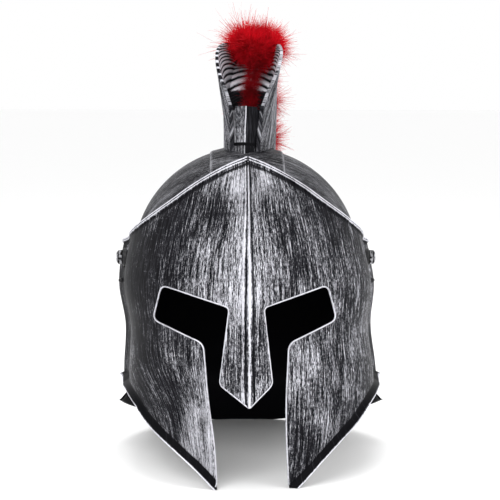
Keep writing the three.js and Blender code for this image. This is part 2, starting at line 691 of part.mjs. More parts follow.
function cheekPeg(side) {
  const at = (along) => side * (pegSeat(side) + gap + along);
  const head = turned([
    [0, at(0)],
    [peg.head, at(0)],
    [peg.head, at(1.2)],
    [peg.head * 0.75, at(2.4)],
    [peg.head * 0.3, at(3)],
    [0, at(3)],
  ], 12);
  const shank = discX(peg.shank, at(-peg.depth), at(0.5), 8);
  const whole = solid(head).add(solid(shank));
  return whole.translate([0, peg.y, peg.z]);
}

// Finishes
const finish = (color, roughness, metalness) => new THREE.MeshStandardMaterial({ color, roughness, metalness });
const brushedPlastic = finish(0x7d7d82, 0.42, 0.55);
const smokedPlastic = finish(0x5e5e62, 0.4, 0.5);
const blackPlastic = finish(0x141416, 0.45, 0);
const chrome = finish(0xc9c9cc, 0.12, 1);
const redFeather = finish(0xc4101c, 0.9, 0);

const helmet = new THREE.Group();
helmet.rotation.x = -leanBack;
helmet.position.z = standHeight;

function piece(name, manifold, material) {
  const mesh = new THREE.Mesh(geometryOf(manifold), material);
  mesh.name = name;
  helmet.add(mesh);
}

piece("skull_shell", skullShell(), smokedPlastic);
piece("visor", visor(), brushedPlastic);
piece("crest_shell", crestShell(), brushedPlastic);
piece("plume", plume(), redFeather);
for (const [label, side] of [["left", -1], ["right", 1]]) {
  piece(`pivot_screw_${label}`, pivotScrew(side), chrome);
  piece(`pivot_washer_${label}`, pivotWasher(side), blackPlastic);
  piece(`pivot_nut_${label}`, pivotNut(side), chrome);
  piece(`cheek_peg_${label}`, cheekPeg(side), blackPlastic);
}

// The origin is under the middle of the whole helmet, on the floor
const extent = new THREE.Box3().setFromObject(helmet, true).getCenter(point(0, 0, 0));
helmet.position.x -= extent.x;
helmet.position.y -= extent.y;

export default new THREE.Group().add(helmet);
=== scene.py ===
import json
import math
import bmesh
import bpy
import numpy as np
from mathutils import Matrix

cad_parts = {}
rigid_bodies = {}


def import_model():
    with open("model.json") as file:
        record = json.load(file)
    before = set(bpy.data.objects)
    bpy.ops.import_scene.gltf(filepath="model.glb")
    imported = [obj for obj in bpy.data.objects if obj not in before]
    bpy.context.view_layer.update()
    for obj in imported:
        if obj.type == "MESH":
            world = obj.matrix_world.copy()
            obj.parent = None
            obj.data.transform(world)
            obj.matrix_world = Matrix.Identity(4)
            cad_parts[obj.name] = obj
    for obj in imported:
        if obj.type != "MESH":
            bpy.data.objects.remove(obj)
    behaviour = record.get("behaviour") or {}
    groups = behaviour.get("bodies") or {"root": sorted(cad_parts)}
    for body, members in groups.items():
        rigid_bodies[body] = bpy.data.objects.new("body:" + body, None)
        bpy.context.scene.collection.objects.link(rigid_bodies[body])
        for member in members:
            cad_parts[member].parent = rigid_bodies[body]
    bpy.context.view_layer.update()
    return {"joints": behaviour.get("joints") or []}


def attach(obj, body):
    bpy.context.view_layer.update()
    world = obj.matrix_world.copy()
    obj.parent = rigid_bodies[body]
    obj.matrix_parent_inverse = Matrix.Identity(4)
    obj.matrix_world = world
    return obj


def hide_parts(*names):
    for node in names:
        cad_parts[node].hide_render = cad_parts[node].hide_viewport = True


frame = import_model()
print("frame loaded")

# The helmet's own frame is in millimetres: x across, -y the face, z up, origin in the middle of the pivots
stand = {
    "leanBack": math.radians(6.6), "pivot": np.array(frame["joints"][0]["pos_m"]),
    "wall": 2.2,
    "sideways": 0.04,  # how far the sides shift for each millimetre below the pivots
}
metres = 0.001


# Values side by side on a new last axis, such as the x, y and z of points
def stacked(*values):
    return np.stack(np.broadcast_arrays(*values), -1)


def toWorld(points):
    points = np.asarray(points, float)
    c, s = math.cos(stand["leanBack"]), math.sin(stand["leanBack"])
    y = points[..., 1] * c + points[..., 2] * s
    z = points[..., 2] * c - points[..., 1] * s
    return stacked(points[..., 0], y, z) * metres + stand["pivot"]


def toHelmet(points):
    points = (np.asarray(points, float) - stand["pivot"]) / metres
    c, s = math.cos(stand["leanBack"]), math.sin(stand["leanBack"])
    y = points[..., 1] * c - points[..., 2] * s
    z = points[..., 1] * s + points[..., 2] * c
    return stacked(points[..., 0], y, z)


# A smooth value between the entries of a table's columns
def between(table, column, at):
    keys, values = np.array(table["at"], float), np.array(table[column], float)
    slopes = np.diff(values) / np.diff(keys)
    tangents = np.concatenate([slopes[:1], (slopes[1:] + slopes[:-1]) / 2, slopes[-1:]])
    at = np.asarray(at, float)
    row = np.clip(np.searchsorted(keys, at) - 1, 0, len(keys) - 2)
    span = keys[row + 1] - keys[row]
    t = np.clip((at - keys[row]) / span, 0, 1)
    t2, t3 = t * t, t ** 3
    ends = (2 * t3 - 3 * t2 + 1) * values[row] + (3 * t2 - 2 * t3) * values[row + 1]
    return ends + ((t3 - 2 * t2 + t) * tangents[row] + (t3 - t2) * tangents[row + 1]) * span


def smooth(value, low, high):
    t = np.clip((value - low) / (high - low), 0, 1)
    return t * t * (3 - 2 * t)


def bump(value, middle, reach):
    return np.maximum(0, 1 - ((value - middle) / reach) ** 2) ** 2


def unit(vectors):
    return vectors / np.maximum(1e-9, np.linalg.norm(vectors, axis=-1, keepdims=True))


# Rings of points or values that come back to their first corner
def closeRings(rings):
    return np.concatenate([rings, rings[:, :1]], 1)


# Whole rings of points from their right halves
def mirrored(half):
    return np.concatenate([half, half[:, ::-1] * [-1, 1, 1]], 1)


def turnsRound(sides):
    return np.linspace(0, 2 * math.pi, sides, endpoint=False)


def link(name, data):
    made = bpy.data.objects.new(name, data)
    bpy.context.scene.collection.objects.link(made)
    return made


# Share of silver and share of shade of a face without paint
unpainted = [0.0, 1.0]


# A mesh object from points in the helmet's frame; brush holds each point's place across and along the brush
# strokes, and tone its share of silver and of shade
def meshFrom(name, points, faces, brush, tone, merge=True):
    mesh = bpy.data.meshes.new(name)
    mesh.from_pydata(toWorld(points).tolist(), [], faces)
    corners = np.zeros(len(mesh.loops), np.int32)
    mesh.loops.foreach_get("vertex_index", corners)
    for layer, values in (("brush", brush), ("tone", tone)):
        uv = mesh.uv_layers.new(name=layer)
        uv.data.foreach_set("uv", np.asarray(values, np.float32).reshape(-1, 2)[corners].ravel())
    work = bmesh.new()
    work.from_mesh(mesh)
    if merge:
        bmesh.ops.remove_doubles(work, verts=work.verts, dist=1e-6)
        bmesh.ops.dissolve_degenerate(work, edges=work.edges, dist=1e-7)
    bmesh.ops.recalc_face_normals(work, faces=work.faces)
    if work.calc_volume(signed=True) < 0:
        bmesh.ops.reverse_faces(work, faces=work.faces)
    work.to_mesh(mesh)
    work.free()
    return link(name, mesh)


def quads(rows, columns, offset=0, flip=False):
    index = np.arange(rows * columns).reshape(rows, columns) + offset
    a, b, c, d = index[:-1, :-1], index[1:, :-1], index[1:, 1:], index[:-1, 1:]
    stack = np.stack([a, d, c, b] if flip else [a, b, c, d], -1)
    return stack.reshape(-1, 4).tolist()


def strip(first, second):
    return [[first[i], first[i + 1], second[i + 1], second[i]] for i in range(len(first) - 1)]


# A wall between two grids of points, with its four borders closed
def wall(name, outer, inner, brush, tone, closedRound=False):
    rows, columns = outer.shape[:2]
    count = rows * columns
    faces = quads(rows, columns) + quads(rows, columns, count, True)
    index = np.arange(count).reshape(rows, columns)
    borders = [index[0], index[-1]] + ([] if closedRound else [index[:, 0], index[:, -1]])
    for border in borders:
        faces += strip(border.tolist(), (border + count).tolist())
    points = np.concatenate([outer.reshape(-1, 3), inner.reshape(-1, 3)])
    flat = brush.reshape(-1, 2)
    tones = np.concatenate([tone.reshape(-1, 2), np.zeros((count, 2)) + unpainted])
    return meshFrom(name, points, faces, np.concatenate([flat, flat]), tones)


# A closed body through rings of points [ring][corner]
def loft(name, rings, brush=None, tone=None):
    count, corners = rings.shape[:2]
    closed = closeRings(rings)
    caps = [rings[0].mean(0), rings[-1].mean(0)]
    points = np.concatenate([closed.reshape(-1, 3), caps])
    faces = quads(count, corners + 1)
    last = (count - 1) * (corners + 1)
    middle = len(points) - 2
    faces += [[middle, i + 1, i] for i in range(corners)]
    faces += [[middle + 1, last + i, last + i + 1] for i in range(corners)]
    if brush is None:
        brush = closed[..., [0, 2]] * metres
    if tone is None:
        tone = np.zeros(closed.shape[:2] + (2,)) + unpainted
    return meshFrom(name, points, faces, withCaps(brush), withCaps(tone))


def withCaps(values):
    flat = values.reshape(-1, 2)
    return np.concatenate([flat, flat[[0, -1]]])


# A ring about x; a radius in a list is the width over the corners of a hexagon
def ringRound(radius, x, turns, centre=(0, 0)):
    if not np.isscalar(radius):
        half = math.pi / 6
        radius = radius[0] / 2 * math.cos(half) / np.cos(turns % (2 * half) - half)
    return stacked(x, centre[0] + radius * np.cos(turns), centre[1] + radius * np.sin(turns))


# A profile turned about x: rows of radius, distance outwards and share of bright metal; low shares paint
# grime and painted shade
def turned(name, profile, side, centre=(0, 0), sides=48):
    turns = turnsRound(sides)
    rings = np.stack([ringRound(radius, side * outwards, turns, centre) for radius, outwards, *_ in profile])
    tone = np.array([row[2] if len(row) > 2 else 1.0 for row in profile])
    tones = stacked(np.broadcast_to(tone[:, None], (len(profile), sides + 1)), 0)
    return loft(name, rings, closeRings(rings)[..., 1:] * metres, tones)


# A ring with a bore: a profile of radius and distance outwards that goes round the ring's section
def boredRing(name, profile, side, tone, sides=48):
    turns = np.linspace(0, 2 * math.pi, sides + 1)
    rows = profile + profile[:1]
    points = np.stack([ringRound(radius, side * outwards, turns) for radius, outwards in rows])
    tones = np.zeros(points.shape[:2] + (2,)) + tone
    faces = quads(len(rows), len(turns))
    return meshFrom(name, points.reshape(-1, 3), faces, points[..., 1:] * metres, tones)


def evaluated(thing):
    graph = bpy.context.evaluated_depsgraph_get()
    return bpy.data.meshes.new_from_object(thing.evaluated_get(graph), depsgraph=graph)


# Delete the loose slivers that a cut can leave
def dropScraps(mesh, fewestFaces=40):
    work = bmesh.new()
    work.from_mesh(mesh)
    seen, scraps = set(), []
    for start in work.faces:
        if start in seen:
            continue
        seen.add(start)
        island = [start]
        for face in island:
            near = [other for edge in face.edges for other in edge.link_faces if other not in seen]
            seen.update(near)
            island += list(dict.fromkeys(near))
        if len(island) < fewestFaces:
            scraps += [vert for face in island for vert in face.verts]
    bmesh.ops.delete(work, geom=list(dict.fromkeys(scraps)), context="VERTS")
    work.to_mesh(mesh)
    work.free()


def combine(thing, others, operation):
    for other in others:
        change = thing.modifiers.new("cut", "BOOLEAN")
        change.operation, change.solver, change.object = operation, "MANIFOLD", other
        other.hide_render = True
    mesh = evaluated(thing)
    thing.modifiers.clear()
    thing.data = mesh
    for other in others:
        bpy.data.objects.remove(other)
    dropScraps(mesh)
    return thing


def join(name, things):
    work = bmesh.new()
    for thing in things:
        work.from_mesh(thing.data)
    mesh = bpy.data.meshes.new(name)
    work.to_mesh(mesh)
    work.free()
    for thing in things:
        bpy.data.objects.remove(thing)
    return link(name, mesh)


def finishPiece(thing, body, material, nodes, angle=35):
    mesh = thing.data
    mesh.materials.clear()
    mesh.materials.append(material)
    work = bmesh.new()
    work.from_mesh(mesh)
    for face in work.faces:
        face.smooth = True
        face.material_index = 0
    for edge in work.edges:
        edge.smooth = len(edge.link_faces) == 2 and edge.calc_face_angle(0) < math.radians(angle)
    work.to_mesh(mesh)
    work.free()
    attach(thing, body)
    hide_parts(*nodes)
    print("made", thing.name, sum(len(p.vertices) - 2 for p in mesh.polygons), "triangles")


# Outline with rounded corners, as rows of corner x, z and radius
def rounded(corners, steps=6):
    corners = np.array(corners, float)
    points = []
    for i, (x, z, radius) in enumerate(corners):
        here = np.array([x, z])
        before, after = corners[i - 1, :2] - here, corners[(i + 1) % len(corners), :2] - here
        reach = min(radius, np.linalg.norm(before) / 2, np.linalg.norm(after) / 2)
        enter, leave = here + unit(before) * reach, here + unit(after) * reach
        t = np.linspace(0, 1, steps)[:, None]
        points.append((1 - t) ** 2 * enter + 2 * t * (1 - t) * here + t * t * leave)
    return np.concatenate(points)


def prism(name, outline, fromY, toY):
    first, second = (stacked(outline[:, 0], y, outline[:, 1]) for y in (fromY, toY))
    count = len(outline)
    side = [[i, (i + 1) % count, count + (i + 1) % count, count + i] for i in range(count)]
    faces = side + [list(range(count)), list(range(2 * count - 1, count - 1, -1))]
    points = np.concatenate([first, second])
    tone = np.zeros((len(points), 2)) + unpainted
    return meshFrom(name, points, faces, points[:, [0, 2]] * metres, tone, merge=False)


# A block below the floor, which cuts the edges that the helmet stands on flat
def underFloor(half=0.3, depth=0.2):
    corners = [(-half, -half), (half, -half), (half, half), (-half, half)]
    points = [(x, y, z) for z in (-depth, 0) for x, y in corners]
    block = bpy.data.meshes.new("floor_cut")
    faces = [[3, 2, 1, 0], [4, 5, 6, 7], [0, 1, 5, 4], [1, 2, 6, 5], [2, 3, 7, 6], [3, 0, 4, 7]]
    block.from_pydata(points, [], faces)
    return link("floor_cut", block)


# Materials: a socket that adds its own maths nodes, and one method for every other node
class Value:
    def __init__(self, tree, socket):
        self.tree, self.socket = tree, socket

    def maths(self, operation, *others, clamp=False):
        node = self.tree.nodes.new("ShaderNodeMath")
        node.operation, node.use_clamp = operation, clamp
        for socket, value in zip(node.inputs, others):
            if isinstance(value, Value):
                self.tree.links.new(value.socket, socket)
            else:
                socket.default_value = value
        return Value(self.tree, node.outputs[0])

    def __add__(self, other):
        return self.maths("ADD", self, other)

    def __radd__(self, other):
        return self.maths("ADD", other, self)

    def __sub__(self, other):
        return self.maths("SUBTRACT", self, other)

    def __rsub__(self, other):
        return self.maths("SUBTRACT", other, self)

    def __mul__(self, other):
        return self.maths("MULTIPLY", self, other)

    def __truediv__(self, other):
        return self.maths("DIVIDE", self, other)

    def clamped(self):
        return self.maths("ADD", self, 0.0, clamp=True)

    def ramp(self, low, high):
        return ((self - low) / (high - low)).clamped()


class Finish:
    def __init__(self, name, roughness, metallic=0.0, sheen=0.0):
        self.material = bpy.data.materials.new(name)
        self.material.use_nodes = True
        self.tree = self.material.node_tree
        self.shader = self.tree.nodes["Principled BSDF"]
        self.shader.inputs["Roughness"].default_value = roughness
        self.shader.inputs["Metallic"].default_value = metallic
        self.shader.inputs["Sheen Weight"].default_value = sheen

    def node(self, kind, settings=None, sockets=None, output=0):
        made = self.tree.nodes.new("ShaderNode" + kind)
        for name, value in (settings or {}).items():
            setattr(made, name, value)
        for name, value in (sockets or {}).items():
            if isinstance(value, Value):
                self.tree.links.new(value.socket, made.inputs[name])
            else:
                made.inputs[name].default_value = value
        return Value(self.tree, made.outputs[output])

    def feed(self, name, value):
        if isinstance(value, Value):
            self.tree.links.new(value.socket, self.shader.inputs[name])
        else:
            self.shader.inputs[name].default_value = value

    def noise(self, vector, scale, detail, roughness):
        sockets = {"Vector": vector, "Scale": scale, "Detail": detail, "Roughness": roughness}
        return self.node("TexNoise", {}, sockets)

    def stretched(self, vector, scale, location):
        return self.node("Mapping", {}, {"Vector": vector, "Scale": scale, "Location": location})

    def mix(self, factor, first, second):
        sockets = {0: factor, 6: (*first, 1) if isinstance(first, tuple) else first}
        sockets[7] = (*second, 1) if isinstance(second, tuple) else second
        return self.node("Mix", {"data_type": "RGBA"}, sockets, 2)

    def raised(self, height, distance, strength):
        sockets = {"Height": height, "Distance": distance, "Strength": strength}
        self.feed("Normal", self.node("Bump", {}, sockets))


brushedLook = {
    "black": (0.003, 0.003, 0.004), "dark": (0.022, 0.022, 0.026), "silver": (0.60, 0.60, 0.65),
    "strokes": 1900, "strokeStretch": 0.03, "dashes": 2100, "dashStretch": 0.14,
    "specks": 1700, "patches": 42, "gloss": 0.03,
    "strokeShare": 1.5, "dashShare": 1.5, "broadShare": 0.7, "speckShare": 0.6, "patchShare": 0.8,
}


# Black plastic dry-brushed with silver: fine strokes and specks, closer together where the tone is higher
def brushedFinish(name, contrast=1.0, silver=1.0, softness=0.12, metallic=0.6, seed=0.0):
    made = Finish(name, 0.4)
    brush = made.node("UVMap", {"uv_map": "brush"})
    tone = made.node("SeparateXYZ", {}, {"Vector": made.node("UVMap", {"uv_map": "tone"})})
    # The tone map's second value is painted shade: it takes silver and haze away
    shade = Value(made.tree, tone.socket.node.outputs[1])
    look = brushedLook
    along = made.stretched(brush, (1, look["strokeStretch"], 1), (seed, seed, 0))
    fine = made.noise(along, look["strokes"], 3, 0.6)
    broad = made.noise(along, look["strokes"] * 0.3, 2, 0.5)
    short = made.stretched(brush, (1, look["dashStretch"], 1), (seed + 3, 0, 0))
    dashes = made.noise(short, look["dashes"], 3, 0.65)
    specks = made.noise(brush, look["specks"], 2, 0.5)
    patches = made.noise(made.stretched(brush, (1, 0.5, 1), (seed, 7, 0)), look["patches"], 3, 0.55)
    strokes = (fine - 0.5) * look["strokeShare"] + (dashes - 0.5) * look["dashShare"]
    strokes = strokes + (broad - 0.5) * look["broadShare"] + (specks - 0.5) * look["speckShare"]
    coverage = tone + strokes * contrast + (patches - 0.5) * look["patchShare"] - shade
    painted = coverage.ramp(0.5 - softness * 0.8, 0.5 + softness * 2.2)
    streaks = (fine - 0.5) * 2.6 + (broad - 0.5) * 1.2 + (patches - 0.5) * 0.5
    haze = (tone * 0.7 + streaks - shade).ramp(0.0, 1.1)
    base = made.mix(haze, look["black"], tuple(c * 2.6 * silver for c in look["dark"]))
    bright = tuple(min(1, c * silver) for c in look["silver"])
    made.feed("Base Color", made.mix(painted, base, bright))
    made.feed("Metallic", painted * metallic)
    made.feed("Roughness", 0.42 - painted * 0.04 + dashes * 0.1)
    made.shader.inputs["Specular IOR Level"].default_value = look["gloss"]
    made.raised(painted * 0.6 + fine * 0.4, 0.0002, 0.6)
    return made.material


def plainFinish(name, colour, roughness, grain, grainSize=2500):
    made = Finish(name, roughness)
    place = made.node("TexCoord", {}, {}, 3)
    speckle = made.noise(place, grainSize, 3, 0.6)
    wide = made.noise(place, grainSize * 0.05, 2, 0.5)
    lighter = tuple(min(1, c * 1.5 + 0.01) for c in colour)
    made.feed("Base Color", made.mix((wide * 0.7 + speckle * 0.3).ramp(0.3, 0.75), colour, lighter))
    made.feed("Roughness", roughness + (wide - 0.5) * 0.12)
    made.raised(speckle, 0.0001, grain)
    made.shader.inputs["Specular IOR Level"].default_value = 0.2
    return made.material


# Bright plated metal, dark where the tone is low, in the seams and at the corners, partly grime and partly
# painted shade; its mottling noise is partly wear and partly painted reflection
def platedFinish(name, bright=(0.36, 0.36, 0.38), grimeAndShade=(0.008, 0.008, 0.008)):
    made = Finish(name, 0.2, 1.0)
    tone = made.node("SeparateXYZ", {}, {"Vector": made.node("UVMap", {"uv_map": "tone"})})
    place = made.node("TexCoord", {}, {}, 3)
    worn = made.noise(place, 420, 3, 0.6)
    clean = (tone + (worn - 0.5) * 2.0).ramp(0.4, 0.8)
    made.feed("Base Color", made.mix(clean, grimeAndShade, bright))
    made.feed("Roughness", 0.5 - clean * 0.28)
    return made.material


visorFinish = brushedFinish("visorDryBrush", 1.0, 1.0, 0.12)
crestFinish = brushedFinish("crestDryBrush", 0.75, 0.98, 0.14, seed=2.0)
skullFinish = brushedFinish("skullDryBrush", 1.1, 0.45, 0.2, 0.4, seed=5.0)
blackFinish = plainFinish("blackPlastic", (0.008, 0.008, 0.009), 0.38, 0.3)
chromeFinish = platedFinish("brightScrew")
print("finishes made")

# Visor
visorSections = {
    "at": [-205, -150, -106, -60, -23, 17, 40, 60, 76, 88],
    "side": [92, 103, 107.6, 104.6, 109, 103, 98, 88.5, 75.5, 63],
    "front": [140, 147, 148, 146, 143, 135, 125, 112, 93, 76],
    "straight": [-15, -15, -15, -15, -15, -10, -6, -3, 0, 0],
    "power": [2.3, 2.4, 2.4, 2.4, 2.3, 2.15, 2, 2, 2, 2],
}
visorEdges = {
    "at": [0, 0.11, 0.19, 0.28, 0.37, 0.45, 0.55, 0.68, 0.8, 1],
    "top": [85, 78.6, 71.5, 61.5, 50, 41, 32, 24.5, 20.5, 16.5],
    "low": [-208, -190.4, -174.5, -160, -148, -138, -124, -115, -112, -106],
    "rightDrop": [10, 10, 10, 5, 1, 0, 0, 0, 0, 0],
}
visorForm = {
    "creaseDepth": 12, "creaseReach": 60, "rearFrom": 0.8, "rearY": 16, "rearFlare": 7, "length": 190,
    "rimWidth": 4.6, "rimRise": 2.0, "ribRise": 0.9, "flangeWidth": 6.0, "flangeFlare": 4.5,
    "columns": 200, "rows": 118, "beadRadius": 0.65, "padRadius": 9.6, "padFace": 106.6, "recessDepth": 28.4,
    "hubRadius": 9.3, "hubDepth": 14.6, "widestZ": -23, "lipRise": 0.45, "beadSunk": 0.45,
    "tone": 0.33, "padTone": 0.32, "flangeShadeTone": 0.14, "flangeShade": 0.35, "beadTone": 0.8,
}
# The opening of the face: x on the left and on the right of the ridge, height and corner radius
faceOpening = {
    "left": [80, 72.5, 16.3, 24.4, 0], "right": [73.5, 65.5, 11.9, 19, 0],
    "z": [-51.5, -22.5, -40.5, -103, -121.5], "radius": [6, 6, 4, 4, 2],
}
cheekEdge = {
    "left": [37.5, 33.5, 28.5, 24], "right": [32.5, 30, 30.5, 35],
    "z": [-70, -118, -150, -225], "radius": [6, 20, 20, 1],
}
# Where the visor's tone is raised or lowered, partly thicker or thinner silver and partly painted light and
# shade (lighter at the apex, the nose and the lower cheeks, darker on the left side): middle, reach and
# amount
visorLightAndSilverPatches = {
    "x": [0, 0, -92, -100, -36, -62, 46, 84, -44, 50, 40, 0, -30, 98, -20, 28],
    "z": [72, -60, -40, 5, -150, -95, -92, -80, -80, 30, -160, 20, 40, 10, -10, -5],
    "reachX": [40, 26, 30, 26, 16, 26, 22, 30, 20, 30, 14, 18, 26, 22, 26, 20],
    "reachZ": [26, 70, 90, 50, 50, 40, 30, 60, 26, 40, 50, 60, 30, 50, 26, 30],
    "amount": [0.14, 0.12, -0.2, -0.1, 0.22, -0.08, 0.12, -0.04,
               0.1, -0.08, -0.1, 0.1, -0.1, -0.04, 0.1, 0.06],
}


def sidewaysShift(x, z, half):
    return stand["sideways"] * np.maximum(0, -z) * np.clip(x / half, -1, 1) ** 2


def visorPoint(around, z):
    form, share = visorForm, np.abs(around)
    columns = ("side", "front", "straight", "power")
    side, front, straight, power = [between(visorSections, column, z) for column in columns]
    turn = np.minimum(1, share / form["rearFrom"]) * math.pi / 2
    beyond = np.clip((share - form["rearFrom"]) / (1 - form["rearFrom"]), 0, 1)
    x = side * np.sin(turn) ** (2 / power) + form["rearFlare"] * beyond ** 2
    bulge = (front + straight - form["creaseDepth"]) * np.maximum(0, np.cos(turn)) ** (2 / power)
    fold = form["creaseDepth"] * np.maximum(0, 1 - x / form["creaseReach"]) ** 2
    y = (straight - bulge - fold) * (1 - beyond) + form["rearY"] * beyond
    x = np.sign(around) * x
    return stacked(x + sidewaysShift(x, z, side), y, z)


def visorNormal(around, z):
    step = 0.008
    across = visorPoint(np.minimum(1, around + step), z) - visorPoint(np.maximum(-1, around - step), z)
    up = visorPoint(around, z + 0.7) - visorPoint(around, z - 0.7)
    return unit(np.cross(across, up))


def edgeSlant(column, share):
    low, high = np.maximum(0, share - 0.02), np.minimum(1, share + 0.02)
    rise = between(visorEdges, column, high) - between(visorEdges, column, low)
    return np.hypot(1, rise / ((high - low) * visorForm["length"]))


def visorTop(around, distance):
    share = np.abs(around)
    return between(visorEdges, "top", share) - distance * edgeSlant("top", share)


def visorLow(around, distance):
    share = np.abs(around)
    drop = np.where(around > 0, between(visorEdges, "rightDrop", share), 0)
    return between(visorEdges, "low", share) - drop + distance * edgeSlant("low", share)


# How far the lower edge turns outwards, sharper and a little more towards the rear corners
def flangeFlare(around, above):
    share = np.abs(around)
    width = visorForm["flangeWidth"] * (1 - 0.6 * smooth(share, 0.86, 1.0))
    fullest = visorForm["flangeFlare"] * (1 + 0.5 * bump(share, 0.83, 0.15))
    return fullest * (1 - smooth(above, 0.4, width)) ** 1.1


def visorTone(x, z):
    tone = np.full(np.shape(x), visorForm["tone"])
    for i, amount in enumerate(visorLightAndSilverPatches["amount"]):
        nearX = (x - visorLightAndSilverPatches["x"][i]) / visorLightAndSilverPatches["reachX"][i]
        nearZ = (z - visorLightAndSilverPatches["z"][i]) / visorLightAndSilverPatches["reachZ"][i]
        tone = tone + amount * np.exp(-nearX ** 2 - nearZ ** 2)
    return tone


def cornerRows(table, sign, side):
    return [[sign * x, z, radius] for x, z, radius in zip(table[side], table["z"], table["radius"])]


def openingOutline():
    left = cornerRows(cheekEdge, -1, "left")[::-1] + cornerRows(faceOpening, -1, "left")
    right = cornerRows(cheekEdge, 1, "right")[::-1] + cornerRows(faceOpening, 1, "right")[:-1]
    return rounded(left + right[::-1], 7)


def aroundAt(x, z):
    shares = np.linspace(0, 0.85, 600)
    found = []
    for px, pz in zip(x, z):
        line = visorPoint(np.copysign(shares, px), np.full(600, pz))[:, 0]
        found.append(math.copysign(np.interp(abs(px), np.abs(line), shares), px))
    return np.array(found)


# A rounded bead swept along a line of surface points
def bead(name, centres, normals, radius, tone, sides=8):
    along = unit(np.gradient(centres, axis=0))
    across = unit(np.cross(along, normals))
    turns = turnsRound(sides)
    rings = np.stack([centres + (np.cos(t) * normals + np.sin(t) * across) * radius for t in turns], 1)
    length = np.append(0, np.cumsum(np.linalg.norm(np.diff(centres, axis=0), axis=1))) * metres
    closed = np.append(turns, 2 * math.pi) * radius * metres
    brush = stacked(closed[None, :], length[:, None])
    tones = np.zeros(brush.shape) + [tone, 0.0]
    return loft(name, rings, brush, tones)


